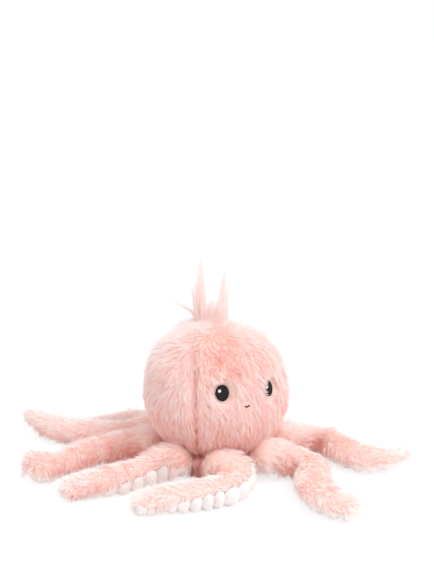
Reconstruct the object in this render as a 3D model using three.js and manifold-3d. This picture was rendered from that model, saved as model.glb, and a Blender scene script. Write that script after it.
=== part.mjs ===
import * as THREE from 'three';
import Module from 'manifold-3d';

// A plush octopus lying on its eight arms, in millimetres, with +Z up. The origin is on the
// floor under the middle of the head, and the face looks towards -Y. The toy's own left is +X.

// Cloth and filling, shared by every piece
const CLOTH_GAP = 0.3; // between two pieces of cloth that are sewn edge to edge
const FILL_GAP = 0.4; // between the filling and the cloth round it
const FLOOR_CUT = 0.5; // how deep each arm is cut flat where it lies on the floor
const WELD_GRID = 0.0005; // corners of a mesh that are closer than this are one corner

// Head: four panels round one ball of filling, on a dished base panel
const HEAD_RADIUS = 72; // with its short pile
const HEAD_LIFT = 6; // of the ball's lowest point over the floor
const HEAD_WALL = 8; // backing and pile
const SEAM_DIP = 1.4; // how far the four upright seams are drawn in
const NECK_DROP_SHARE = 0.74; // of the radius, down from the head's centre to where its panels end
const BASE_FLAT_RADIUS = 38; // the flat that the toy rests on
const BASE_WALL = 4;
// the bowl between the flat and the rim: one point of its outer face and one of its inner face,
// as shares of the way out to the rim and of ROOT_HEIGHT
const BOWL_OUTER_SHARES = { out: 0.75, up: 0.4 };
const BOWL_INNER_SHARES = { out: 0.35, up: 0.5 };
const PANEL_COUNT = 4;
const PANEL_ROWS = 11;
const PANEL_OUTER_COLUMNS = 6;
const PANEL_INNER_COLUMNS = 3;
const BASE_SIDES = 32;
const HOLLOW_SIDES = 14;
const EYE_SIDES = 18;
const HIGHLIGHT_SIDES = 10;
const MOUTH_STEPS = 8;

// Face: flat stitched eyes and mouth, each in a hollow of the pile
const EYE_ANGLE = 22.75; // each way from the middle of the face, in degrees
const EYE_RISE_ANGLE = 15.1; // over the level of the head's centre, in degrees
const FACE_ROLL_ANGLE = 3; // the toy's left eye is a little lower, in degrees
const EYE_WIDTH = 13.7;
const EYE_HEIGHT = 16.3;
const EYE_THICKNESS = 1.3;
const PATCH_EDGE_SHARE = 0.33; // how far a stitched patch's edge is rounded, of its thickness
const HOLLOW_DEPTH = 6; // of a hollow's flat floor under the head's surface
const HOLLOW_MARGIN = 1.4; // between a stitched patch and its hollow's wall, at the floor
const HOLLOW_FLARE = 3.2; // how much wider the hollow is at its mouth
const HIGHLIGHT_RADIUS = 2;
const HIGHLIGHT_THICKNESS = 0.6;
const HIGHLIGHT_SIDE = 2.7; // from the eye's middle towards the toy's right
const HIGHLIGHT_UP = 2.1;
const MOUTH_RISE_ANGLE = 2.6; // over the level of the head's centre, in degrees
const MOUTH_RADIUS = 3.2;
const MOUTH_WIDTH = 0.9; // of the stitched line
const MOUTH_THICKNESS = 0.8;
const MOUTH_START_ANGLE = 205; // the stitched arc's ends, in degrees
const MOUTH_END_ANGLE = 335;

// Crown: long locks on a round patch of backing
const TUFT_PATCH_RADIUS = 22;
const TUFT_PATCH_THICKNESS = 1.2;
const TUFT_LENGTH = 69; // of the tallest lock, over the head
const LOCK_RADIUS = 5.2; // at a lock's foot
const LOCK_TIP_SHARE = 0.12;
const LOCK_FOOT_SHARE = 0.7; // a lock is drawn in where it leaves the patch
const LOCK_BEND_SHARE = 0.55; // of its height, where it bends over
const LOCK_TAPER_POWER = 1.4; // power of the taper along a lock
const LOCK_STEPS = 4;
const LOCK_SIDES = 5;
const PATCH_ROWS = 4;
const PATCH_SIDES = 16;
const TUFT_TURN_ANGLE = -28; // the row of locks faces this way round the head, in degrees
// foot and tip sideways in the tuft's row as shares of the patch radius, the tip's height as a
// share of TUFT_LENGTH, and thickness as a share of LOCK_RADIUS
const LOCK_SHARES = [
  { foot: -0.62, tip: -0.73, depth: 0.0, rise: 1.0, thick: 1.0 },
  { foot: -0.80, tip: -1.25, depth: 0.1, rise: 0.6, thick: 0.7 },
  { foot: 0.25, tip: 0.4, depth: -0.1, rise: 0.8, thick: 0.85 },
  { foot: 0.42, tip: 0.62, depth: 0.15, rise: 0.61, thick: 0.6 },
  { foot: -0.70, tip: -2.0, depth: 0.25, rise: 0.38, thick: 0.45 },
  { foot: -0.15, tip: -0.1, depth: 0.3, rise: 0.42, thick: 0.8 },
];

// Arms: each is two stuffed lengths, joined by a ball in a hollow half way along
const ARM_LENGTH = 175;
const ARM_WIDTH = 35; // at its widest
const ARM_HEIGHT = 29; // at the middle
const ARM_WALL = 4; // backing and pile
const BALL_RADIUS = 15.6; // of an arm's round root
const ROOT_HEIGHT = 19; // of the pivots in the roots, over the floor
const ROOT_DROP = 38; // length over which an arm comes down to the floor
const TIP_RISE = 9; // how far a raised tip leaves the floor
const BALL_GAP = 0.35; // between an arm's round root and the head and base
const SOCKET_GAP = 0.4; // between the ball and the hollow half way along
const PUFF_PITCH = 14.5; // of the round puffs gathered along the underside
const PUFF_DEPTH = 2;
const JOINT_SHARE = 0.5; // of the arm's length, where its two lengths meet
const SOCKET_EDGE_ANGLE = 40; // how far the hollow's rim stays from the joint, in degrees on the ball
const ARM_SPACING_ANGLE = 45; // between two arms, in degrees
const FIRST_ARM_ANGLE = -22.5; // angle of the first arm from the face, in degrees
// stations along an arm as shares of its length, and what the tables give there
const TURN_SHARES = [0, 0.2, 0.4, 0.5, 0.7, 0.85, 1];
const SIZE_STATION_SHARES = [0, 0.15, 0.35, 0.5, 0.7, 0.88, 1];
const WIDTH_SHARES = [1, 0.93, 0.96, 1, 1, 0.93, 0.84]; // of ARM_WIDTH, but the first of the ball
const HEIGHT_SHARES = [1, 1.03, 1, 1, 0.97, 0.93, 0.88]; // of ARM_HEIGHT, but the first of the ball
const ROLL_STATION_SHARES = [0.25, 0.75];
const RISE_STATION_SHARES = [0, 0.66, 1];
const RISE_POWER = 1.5; // power of a raised tip's upward curve
// Each arm's turns are the headings of its centre line against the arm's own angle round the
// head, in degrees. The third holds across the joint. Its rolls turn the underside to a side, in
// degrees, in the first and the second length.
const ARMS = [
  { turns: [47, -10, -74, -87, -78, -54], rolls: [-25, -32], lengthShare: 0.81, girthShare: 1, riseShare: 0 },
  { turns: [60, 11, -56, -32, 2, 44], rolls: [0, 16], lengthShare: 0.94, girthShare: 1, riseShare: 0 },
  { turns: [46, 3, -69, -32, 26, 48], rolls: [0, 14], lengthShare: 0.99, girthShare: 1, riseShare: 0.8 },
  { turns: [10, 30, 50, 70, 75, 60], rolls: [0, 0], lengthShare: 0.91, girthShare: 1, riseShare: 0 },
  { turns: [38, 76, 90, 76, 67, 67], rolls: [0, 0], lengthShare: 0.85, girthShare: 0.84, riseShare: 0 },
  { turns: [33, 50, 32, 2, -4, -9], rolls: [0, 0], lengthShare: 1.01, girthShare: 0.97, riseShare: 1 },
  { turns: [-39, -4, 31, 40, 37, 30], rolls: [0, -8], lengthShare: 0.82, girthShare: 1, riseShare: 0 },
  { turns: [-40, -17, -19, -31, -33, -33], rolls: [-45, -20], lengthShare: 0.71, girthShare: 1, riseShare: 0 },
];

// Where the corners of an arm's section stand round it, in degrees from the right-hand side
const COVER_CORNER_ANGLES = [-25, 0, 45, 90, 135, 180, 205];
const COVER_INNER_ANGLES = [-25, 51, 129, 205];
const UNDERSIDE_CORNER_ANGLES = [205, 255, 285, 335];
const UNDERSIDE_INNER_ANGLES = [205, 270, 335];
const ROOT_DOME_ANGLES = [0, 30, 60];
const DOME_ANGLES = [0, 45];
const SOCKET_SIDES = 14;
const SOCKET_ROWS = 10;
const CENTRELINE_STEPS = 120;

// Sizes that follow from those above
const headCentre = HEAD_RADIUS + HEAD_LIFT;
const headInnerRadius = HEAD_RADIUS - HEAD_WALL;
const neckDrop = HEAD_RADIUS * NECK_DROP_SHARE;
const eyeSeat = HEAD_RADIUS - HOLLOW_DEPTH;
const panelStandOff = CLOTH_GAP / 2 / Math.sin(Math.PI / PANEL_COUNT);
const rootReach = HEAD_RADIUS + panelStandOff + BALL_GAP + BALL_RADIUS;
const rootRadius = Math.sqrt(rootReach ** 2 - (headCentre - ROOT_HEIGHT) ** 2);
const baseRimRadius = rootRadius - BALL_RADIUS - BALL_GAP;
const baseRimHeight = headCentre - neckDrop - CLOTH_GAP;

const wasm = await Module();
wasm.setup();

const radians = THREE.MathUtils.degToRad;

function cloth(color, roughness) {
  return new THREE.MeshStandardMaterial({ color, roughness, metalness: 0 });
}

const pinkPlush = cloth(0xf4cbc3, 0.95);
const paleMinky = cloth(0xf7ebe8, 0.9);
const whiteFilling = cloth(0xf2efe9, 1);
const blackThread = cloth(0x231d20, 0.55);
const whiteThread = cloth(0xf5f3f0, 0.5);
const brownThread = cloth(0x6b4a44, 0.6);
const paleHair = cloth(0xfeefee, 0.7);

function interpolate(share, stations, values) {
  if (share <= stations[0]) {
    return values[0];
  }
  for (let i = 1; i < stations.length; i += 1) {
    if (share <= stations[i]) {
      const part = (share - stations[i - 1]) / (stations[i] - stations[i - 1]);
      return THREE.MathUtils.lerp(values[i - 1], values[i], part);
    }
  }
  return values[values.length - 1];
}

// Closed meshes

// Joins equal corners and leaves out triangles that have shrunk to a line.
function weld(points, triangles) {
  const numbers = new Map();
  const corners = [];
  const order = points.map((p) => {
    const key = p.toArray().map((value) => Math.round(value / WELD_GRID)).join();
    if (!numbers.has(key)) {
      numbers.set(key, corners.length / 3);
      corners.push(p.x, p.y, p.z);
    }
    return numbers.get(key);
  });
  const faces = [];
  for (const triangle of triangles) {
    const [a, b, c] = triangle.map((i) => order[i]);
    if (a !== b && b !== c && c !== a) {
      faces.push(a, b, c);
    }
  }
  return { corners, faces };
}

function outward({ corners, faces }) {
  let volume = 0;
  const [a, b, c] = [new THREE.Vector3(), new THREE.Vector3(), new THREE.Vector3()];
  for (let i = 0; i < faces.length; i += 3) {
    a.fromArray(corners, faces[i] * 3);
    b.fromArray(corners, faces[i + 1] * 3);
    c.fromArray(corners, faces[i + 2] * 3);
    volume += a.dot(b.cross(c));
  }
  if (volume < 0) {
    for (let i = 0; i < faces.length; i += 3) {
      [faces[i + 1], faces[i + 2]] = [faces[i + 2], faces[i + 1]];
    }
  }
  return { corners, faces };
}

function toSolid({ corners, faces }) {
  const mesh = new wasm.Mesh({
    numProp: 3,
    vertProperties: new Float32Array(corners),
    triVerts: new Uint32Array(faces),
  });
  return new wasm.Manifold(mesh);
}

function geometryToSolid(geometry) {
  const position = geometry.getAttribute('position');
  const points = [];
  for (let i = 0; i < position.count; i += 1) {
    points.push(new THREE.Vector3().fromBufferAttribute(position, i));
  }
  const index = geometry.index ? Array.from(geometry.index.array) : points.map((p, i) => i);
  const triangles = [];
  for (let i = 0; i < index.length; i += 3) {
    triangles.push([index[i], index[i + 1], index[i + 2]]);
  }
  return toSolid(outward(weld(points, triangles)));
}

function toGeometry({ corners, faces }) {
  const geometry = new THREE.BufferGeometry();
  geometry.setAttribute('position', new THREE.Float32BufferAttribute(corners, 3));
  geometry.setIndex(faces);
  geometry.computeVertexNormals();
  return geometry;
}

function solidToGeometry(solid) {
  const mesh = solid.getMesh();
  return toGeometry({ corners: Array.from(mesh.vertProperties), faces: Array.from(mesh.triVerts) });
}

// Fills the strip between two rows of corners that start and end side by side.
function strip(first, second) {
  const triangles = [];
  let i = 0;
  let j = 0;
  while (i < first.length - 1 || j < second.length - 1) {
    const nextFirst = (i + 1) / (first.length - 1);
    const nextSecond = (j + 1) / (second.length - 1);
    if (j === second.length - 1 || (i < first.length - 1 && nextFirst <= nextSecond)) {
      triangles.push([first[i], first[i + 1], second[j]]);
      i += 1;
    } else {
      triangles.push([first[i], second[j + 1], second[j]]);
      j += 1;
    }
  }
  return triangles;
}

// A sheet with a thickness: each ring has the corners of its outer face and of its inner face, in
// the same direction. A ring at a pole has all its outer corners in one place, and its inner ones.
// Every face is split from a ring's lower corner to the next ring's higher one, so that two
// sheets or a sheet and its filling, with the same corners, lie evenly side by side.
function sheetMesh(rings) {
  const outerCount = rings[0].outer.length;
  const innerCount = rings[0].inner.length;
  const count = outerCount + innerCount;
  const points = [];
  for (const ring of rings) {
    points.push(...ring.outer, ...ring.inner.slice().reverse());
  }
  const triangles = [];
  for (let k = 0; k < rings.length - 1; k += 1) {
    for (let i = 0; i < count; i += 1) {
      const a = k * count + i;
      const b = k * count + ((i + 1) % count);
      if (i < outerCount) {
        triangles.push([a, b, b + count], [a, b + count, a + count]);
      } else {
        triangles.push([a, b, a + count], [b, b + count, a + count]);
      }
    }
  }
  const row = (ring) => {
    const outer = Array.from({ length: outerCount }, (unused, i) => ring * count + i);
    const inner = Array.from({ length: innerCount }, (unused, i) => ring * count + count - 1 - i);
    return [outer, inner];
  };
  const [firstOuter, firstInner] = row(0);
  const [lastOuter, lastInner] = row(rings.length - 1);
  triangles.push(...strip(firstOuter, firstInner).map(([a, b, c]) => [a, c, b]));
  triangles.push(...strip(lastOuter, lastInner));
  return outward(weld(points, triangles));
}

// A solid through rings of corners. Its ends are closed with a fan from the first corner.
function coreMesh(rings) {
  const count = rings[0].length;
  const triangles = [];
  for (let k = 0; k < rings.length - 1; k += 1) {
    for (let i = 0; i < count; i += 1) {
      const a = k * count + i;
      const b = k * count + ((i + 1) % count);
      triangles.push([a, b, b + count], [a, b + count, a + count]);
    }
  }
  const last = (rings.length - 1) * count;
  for (let i = 1; i < count - 1; i += 1) {
    triangles.push([0, i + 1, i], [last, last + i, last + i + 1]);
  }
  return outward(weld(rings.flat(), triangles));
}

// Head

function onSphere(radius, azimuth, polar) {
  const flat = radius * Math.sin(polar);
  const height = headCentre + radius * Math.cos(polar);
  return new THREE.Vector3(flat * Math.sin(azimuth), -flat * Math.cos(azimuth), height);
}

function spread(from, to, sides) {
  return Array.from({ length: sides + 1 }, (unused, i) => from + ((to - from) * i) / sides);
}

// One panel from the crown to the neck, between two seams. Each panel stands off the head's
// middle by as much as keeps the gap at its seams.
function headPanelMesh(middle) {
  const half = Math.PI / PANEL_COUNT;
  const away = new THREE.Vector3(Math.sin(middle), -Math.cos(middle), 0).multiplyScalar(panelStandOff);
  const outerEnd = Math.acos(-neckDrop / HEAD_RADIUS);
  const innerEnd = Math.acos(-neckDrop / headInnerRadius);
  const rings = spread(0, 1, PANEL_ROWS).map((share) => {
    const outer = spread(-half, half, PANEL_OUTER_COLUMNS).map((azimuth) => {
      const seam = (Math.abs(azimuth) / half) ** 4 * Math.sin(Math.PI * share);
      const radius = HEAD_RADIUS - SEAM_DIP * seam;
      return onSphere(radius, middle + azimuth, share * outerEnd).add(away);
    });
    const inner = spread(-half, half, PANEL_INNER_COLUMNS).map((azimuth) =>
      onSphere(headInnerRadius, middle + azimuth, share * innerEnd).add(away));
    return { outer, inner };
  });
  return sheetMesh(rings);
}

// The place on the head at an angle round it and up it, looking outward along local +Z, with
// local +Y up and local +X to the toy's left.
function faceMatrix(azimuth, rise, distance) {
  const outwardAxis = onSphere(1, radians(azimuth), Math.PI / 2 - radians(rise));
  outwardAxis.z -= headCentre;
  const across = new THREE.Vector3(0, 0, 1).cross(outwardAxis).normalize();
  const up = outwardAxis.clone().cross(across);
  const matrix = new THREE.Matrix4().makeBasis(across, up, outwardAxis);
  const place = outwardAxis.clone().multiplyScalar(distance);
  place.z += headCentre;
  return matrix.setPosition(place);
}

// The hollow in the pile for a stitched patch, as a solid to cut away.
function hollowSolid(width, height, matrix) {
  const depth = HOLLOW_DEPTH + HOLLOW_FLARE;
  const floorRadius = width / 2 + HOLLOW_MARGIN;
  const geometry = new THREE.CylinderGeometry(floorRadius + HOLLOW_FLARE, floorRadius, depth,
    HOLLOW_SIDES);
  geometry.rotateX(Math.PI / 2);
  geometry.translate(0, 0, depth / 2);
  geometry.scale(1, (height / 2 + HOLLOW_MARGIN) / floorRadius, 1);
  geometry.applyMatrix4(matrix);
  return geometryToSolid(geometry);
}

// A flat round patch of thread with soft edges, standing on its seat.
function patchGeometry(width, height, thickness, seat, matrix, sides) {
  const radius = width / 2;
  const edge = thickness * PATCH_EDGE_SHARE;
  const profile = [
    new THREE.Vector2(0, 0),
    new THREE.Vector2(radius - edge, 0),
    new THREE.Vector2(radius, edge),
    new THREE.Vector2(radius - edge, thickness - edge / 2),
    new THREE.Vector2(0, thickness),
  ];
  const geometry = new THREE.LatheGeometry(profile, sides);
  geometry.rotateX(Math.PI / 2);
  geometry.scale(1, height / width, 1);
  geometry.translate(0, 0, seat);
  geometry.applyMatrix4(matrix);
  return solidToGeometry(geometryToSolid(geometry));
}

function mouthGeometry(matrix) {
  const shape = new THREE.Shape();
  shape.absarc(0, 0, MOUTH_RADIUS, radians(MOUTH_START_ANGLE), radians(MOUTH_END_ANGLE), false);
  shape.absarc(0, 0, MOUTH_RADIUS - MOUTH_WIDTH, radians(MOUTH_END_ANGLE), radians(MOUTH_START_ANGLE), true);
  shape.closePath();
  const options = { depth: MOUTH_THICKNESS, bevelEnabled: false, curveSegments: MOUTH_STEPS };
  const geometry = new THREE.ExtrudeGeometry(shape, options);
  geometry.translate(0, MOUTH_RADIUS, CLOTH_GAP);
  geometry.applyMatrix4(matrix);
  return solidToGeometry(geometryToSolid(geometry));
}

function basePanelGeometry() {
  const rim = baseRimRadius;
  const bend = rim - BASE_FLAT_RADIUS;
  const waist = HEAD_RADIUS * Math.sin(Math.acos(-neckDrop / HEAD_RADIUS));
  const top = Math.min(rim, waist);
  const profile = [
    new THREE.Vector2(0, 0),
    new THREE.Vector2(BASE_FLAT_RADIUS, 0),
    new THREE.Vector2(BASE_FLAT_RADIUS + bend * BOWL_OUTER_SHARES.out,
      ROOT_HEIGHT * BOWL_OUTER_SHARES.up),
    new THREE.Vector2(rim, ROOT_HEIGHT),
    new THREE.Vector2(top, baseRimHeight),
    new THREE.Vector2(top - BASE_WALL, baseRimHeight),
    new THREE.Vector2(rim - BASE_WALL, ROOT_HEIGHT),
    new THREE.Vector2(BASE_FLAT_RADIUS + bend * BOWL_INNER_SHARES.out,
      ROOT_HEIGHT * BOWL_INNER_SHARES.up),
    new THREE.Vector2(BASE_FLAT_RADIUS - BASE_WALL / 2, BASE_WALL),
    new THREE.Vector2(0, BASE_WALL),
  ];
  const geometry = new THREE.LatheGeometry(profile, BASE_SIDES);
  geometry.rotateX(Math.PI / 2);
  return solidToGeometry(geometryToSolid(geometry));
}

// The ball of filling, with a neck down to the base panel. It keeps inside the flats of the
// panels' inner faces.
function headFillingGeometry() {
  const flats = Math.cos(Math.PI / PANEL_COUNT / PANEL_INNER_COLUMNS);
  const rows = Math.cos(Math.acos(-neckDrop / headInnerRadius) / PANEL_ROWS / 2);
  const radius = headInnerRadius * flats * rows - FILL_GAP;
  const neckOpening = Math.sqrt(headInnerRadius ** 2 - neckDrop ** 2);
  const neck = neckOpening * flats - FILL_GAP;
  const start = Math.PI - Math.asin(neck / radius);
  const arc = spread(start, 0, PANEL_ROWS - 2).map((polar) =>
    new THREE.Vector2(radius * Math.sin(polar), headCentre + radius * Math.cos(polar)));
  arc[arc.length - 1].x = 0;
  const foot = BASE_WALL + FILL_GAP;
  const profile = [
    new THREE.Vector2(0, foot),
    new THREE.Vector2(BASE_FLAT_RADIUS - BASE_WALL, foot),
    new THREE.Vector2(neck, baseRimHeight),
    ...arc,
  ];
  const geometry = new THREE.LatheGeometry(profile, BASE_SIDES / 2);
  geometry.rotateX(Math.PI / 2);
  return solidToGeometry(geometryToSolid(geometry));
}

// Crown

function tuftPatchSolid() {
  const inside = HEAD_RADIUS + 2 * CLOTH_GAP;
  const outside = inside + TUFT_PATCH_THICKNESS;
  const reach = Math.asin(TUFT_PATCH_RADIUS / HEAD_RADIUS);
  const face = (radius, from, to) => spread(from, to, PATCH_ROWS).map((polar) =>
    new THREE.Vector2(radius * Math.sin(polar), headCentre + radius * Math.cos(polar)));
  const profile = [...face(inside, 0, reach), ...face(outside, reach, 0)];
  const geometry = new THREE.LatheGeometry(profile, PATCH_SIDES);
  geometry.rotateX(Math.PI / 2);
  return geometryToSolid(geometry);
}

// One tapered lock that bends from upright at its foot to its tip.
function lockSolid(shares) {
  const right = new THREE.Vector3(Math.cos(radians(TUFT_TURN_ANGLE)), Math.sin(radians(TUFT_TURN_ANGLE)), 0);
  const back = new THREE.Vector3(-right.y, right.x, 0);
  const place = (side, depth, height) => right.clone().multiplyScalar(side * TUFT_PATCH_RADIUS)
    .addScaledVector(back, depth * TUFT_PATCH_RADIUS).setZ(height);
    const footRadius = HEAD_RADIUS + 2 * CLOTH_GAP + TUFT_PATCH_THICKNESS / 2;
  const footSide = Math.hypot(shares.foot, shares.depth) * TUFT_PATCH_RADIUS;
  const footHeight = headCentre + Math.sqrt(footRadius ** 2 - footSide ** 2);
  const tipHeight = headCentre + HEAD_RADIUS + TUFT_LENGTH * shares.rise;
  const foot = place(shares.foot, shares.depth, footHeight);
  const bendHeight = THREE.MathUtils.lerp(footHeight, tipHeight, LOCK_BEND_SHARE);
  const bend = place(shares.foot, shares.depth, bendHeight);
  const tip = place(shares.tip, shares.depth, tipHeight);
  const curve = new THREE.QuadraticBezierCurve3(foot, bend, tip);
  const rings = spread(0, 1, LOCK_STEPS).map((share) => {
    const centre = curve.getPoint(share);
    const taper = THREE.MathUtils.lerp(1, LOCK_TIP_SHARE, share ** LOCK_TAPER_POWER);
    const drawnIn = share === 0 ? LOCK_FOOT_SHARE : 1;
    const radius = LOCK_RADIUS * shares.thick * taper * drawnIn;
    return spread(0, 2 * Math.PI, LOCK_SIDES).slice(0, -1).map((turn) => centre.clone()
      .addScaledVector(right, radius * Math.cos(turn)).addScaledVector(back, radius * Math.sin(turn)));
  });
  return toSolid(coreMesh(rings));
}

function tuftGeometry() {
  let solid = tuftPatchSolid();
  for (const shares of LOCK_SHARES) {
    solid = solid.add(lockSolid(shares));
  }
  return solidToGeometry(solid);
}

// Arms

// The centre line in plan: a walk from the root pivot that follows the table of headings.
function walkArm(arm, angle) {
  const [a, b, joint, ...others] = arm.turns;
  const turns = [a, b, joint, joint, ...others];
  const length = ARM_LENGTH * arm.lengthShare;
  const heading = (share) => radians(angle + interpolate(share, TURN_SHARES, turns));
  const points = [new THREE.Vector2(Math.sin(radians(angle)), -Math.cos(radians(angle)))
    .multiplyScalar(rootRadius)];
  for (let i = 0; i < CENTRELINE_STEPS; i += 1) {
    const h = heading((i + 0.5) / CENTRELINE_STEPS);
    const step = new THREE.Vector2(Math.sin(h), -Math.cos(h)).multiplyScalar(length / CENTRELINE_STEPS);
    points.push(points[i].clone().add(step));
  }
  return { ...arm, length, heading, points };
}

// Place, heading and section of an arm at a share of its length.
function sectionAt(arm, share) {
  const at = Math.min(share * CENTRELINE_STEPS, CENTRELINE_STEPS - 1e-9);
  const i = Math.floor(at);
  const place = arm.points[i].clone().lerp(arm.points[i + 1], at - i);
  const width = WIDTH_SHARES.map((s) => (s * arm.girthShare * ARM_WIDTH) / 2);
  const height = HEIGHT_SHARES.map((s) => (s * arm.girthShare * ARM_HEIGHT) / 2);
  width[0] = BALL_RADIUS;
  height[0] = BALL_RADIUS;
  const halfWidth = interpolate(share, SIZE_STATION_SHARES, width);
  const halfHeight = interpolate(share, SIZE_STATION_SHARES, height);
  const roll = interpolate(share, ROLL_STATION_SHARES, arm.rolls);
  const corners = [...UNDERSIDE_CORNER_ANGLES, ...COVER_CORNER_ANGLES];
  const lowest = Math.max(...corners.map((c) => -Math.sin(radians(c + roll)))) * halfHeight;
  const lying = lowest - FLOOR_CUT;
  const drop = THREE.MathUtils.smoothstep(share * arm.length, 0, ROOT_DROP);
  const raised = interpolate(share, RISE_STATION_SHARES, [0, 0, 1]) ** RISE_POWER;
  const rise = raised * arm.riseShare * TIP_RISE;
  const centre = THREE.MathUtils.lerp(ROOT_HEIGHT, lying, drop) + rise;
  return { place, centre, heading: arm.heading(share), halfWidth, halfHeight, roll };
}

// Corners of one ring round an arm: at the given angles, on the section taken in by inset and
// scaled, moved forward along the heading and lifted away from the underside.
function ringCorners(section, angles, { inset, scale, forward, lift }) {
  const { place, centre, heading, halfWidth, halfHeight, roll } = section;
  return angles.map((angle) => {
    const turn = radians(angle + roll);
    const side = (halfWidth - inset) * scale * Math.cos(turn) - lift * Math.sin(radians(roll));
    const up = (halfHeight - inset) * scale * Math.sin(turn) + lift * Math.cos(radians(roll));
    const x = place.x + forward * Math.sin(heading) - side * Math.cos(heading);
    const y = place.y - forward * Math.cos(heading) - side * Math.sin(heading);
    return new THREE.Vector3(x, y, centre + up);
  });
}

// The stations of one length of an arm, one in each valley between its puffs. A round end has
// rings on a dome, and the first and last stations of the long part have no valley.
function stationsOf(arm, from, to, startAngles, endAngles) {
  const dome = (share, sign, angles) => angles.map((angle) => ({
    share,
    section: sectionAt(arm, share),
    along: sign * Math.cos(radians(angle)),
    scale: Math.sin(radians(angle)),
    valley: 0,
  }));
  const puffs = Math.max(2, Math.round(((to - from) * arm.length) / PUFF_PITCH));
  const long = spread(from, to, puffs).map((share, k) => {
    const valley = k === 0 || k === puffs ? 0 : 1;
    return { share, section: sectionAt(arm, share), along: 0, scale: 1, valley };
  });
  return [...dome(from, -1, startAngles), ...long, ...dome(to, 1, endAngles.slice().reverse())];
}

// The rings of a sheet of cloth on an arm, its outer face taken in by the depth of the valleys.
function clothRings(stations, outerAngles, innerAngles, depth, lift) {
  return stations.map(({ section, along, scale, valley }) => {
    const outer = { inset: depth * valley, scale, forward: along * section.halfHeight, lift };
    const inner = { inset: ARM_WALL, scale, forward: along * (section.halfHeight - ARM_WALL), lift };
    return {
      outer: ringCorners(section, outerAngles, outer),
      inner: ringCorners(section, innerAngles, inner),
    };
  });
}

// The underside's rings, with one on the crest of each puff. Its edges and its inner face stay on
// the straight lines between the valleys, as the cover's and the filling's do.
function puffedRings(arm, stations, lift) {
  const rings = clothRings(stations, UNDERSIDE_CORNER_ANGLES, UNDERSIDE_INNER_ANGLES, PUFF_DEPTH, lift);
  const between = (first, second) => first.map((corner, i) => corner.clone().lerp(second[i], 0.5));
  const puffed = [];
  rings.forEach((ring, i) => {
    puffed.push(ring);
    const next = rings[i + 1];
    if (next && stations[i].scale === 1 && stations[i + 1].scale === 1) {
      const section = sectionAt(arm, (stations[i].share + stations[i + 1].share) / 2);
      const crest = ringCorners(section, UNDERSIDE_CORNER_ANGLES, { inset: 0, scale: 1, forward: 0, lift });
      const edges = between(ring.outer, next.outer);
      const outer = [edges[0], ...crest.slice(1, -1), edges[edges.length - 1]];
      puffed.push({ outer, inner: between(ring.inner, next.inner) });
    }
  });
  return puffed;
}

function fillingRings(stations) {
  const angles = [...COVER_INNER_ANGLES, ...UNDERSIDE_INNER_ANGLES.slice(1, -1)];
  const inset = ARM_WALL + FILL_GAP;
  return stations.map(({ section, along, scale }) => {
    const forward = along * (section.halfHeight - inset);
    return ringCorners(section, angles, { inset, scale, forward, lift: 0 });
  });
}

// The rings up to a share of the arm's length, with one more there.
function ringsUpTo(rings, stations, share) {
  const next = stations.findIndex((station) => station.share > share);
  const before = stations[next - 1].share;
  const part = (share - before) / (stations[next].share - before);
  const end = rings[next - 1].map((corner, i) => corner.clone().lerp(rings[next][i], part));
  return [...rings.slice(0, next), end];
}

// The ball half way along an arm turns about the level line across the arm, so it is round about
// that line. This is the space that it turns in.
function socketSolid(section) {
  const sphere = new THREE.SphereGeometry(1, SOCKET_SIDES, SOCKET_ROWS);
  const facets = 1 / (Math.cos(Math.PI / SOCKET_SIDES) * Math.cos(Math.PI / SOCKET_ROWS / 2));
  const across = (section.halfWidth + SOCKET_GAP) * facets;
  const round = (section.halfHeight + SOCKET_GAP) * facets;
  sphere.scale(across, round, round);
  sphere.rotateZ(section.heading);
  sphere.translate(section.place.x, section.place.y, section.centre);
  return geometryToSolid(sphere);
}

function floorSolid() {
  const side = 4 * (rootRadius + ARM_LENGTH);
  const floor = new THREE.BoxGeometry(side, side, ARM_HEIGHT);
  floor.translate(0, 0, -ARM_HEIGHT / 2);
  return geometryToSolid(floor);
}

const octopus = new THREE.Group();

function addPiece(parent, name, geometry, material) {
  const mesh = new THREE.Mesh(geometry, material);
  mesh.name = name;
  parent.add(mesh);
}

function addLength(arm, name, stations, filling, socket) {
  const floor = floorSolid();
  const cut = (rings) => {
    const solid = toSolid(sheetMesh(rings)).subtract(floor);
    return solidToGeometry(socket ? solid.subtract(socket) : solid);
  };
  const seam = CLOTH_GAP / 2 / Math.cos(radians(COVER_CORNER_ANGLES[0]));
  const cover = clothRings(stations, COVER_CORNER_ANGLES, COVER_INNER_ANGLES, 0, seam);
  const underside = puffedRings(arm, stations, -seam);
  addPiece(octopus, `${name}_cover`, cut(cover), pinkPlush);
  addPiece(octopus, `${name}_underside`, cut(underside), paleMinky);
  addPiece(octopus, `${name}_stuffing`, toGeometry(coreMesh(filling)), whiteFilling);
}

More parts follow.
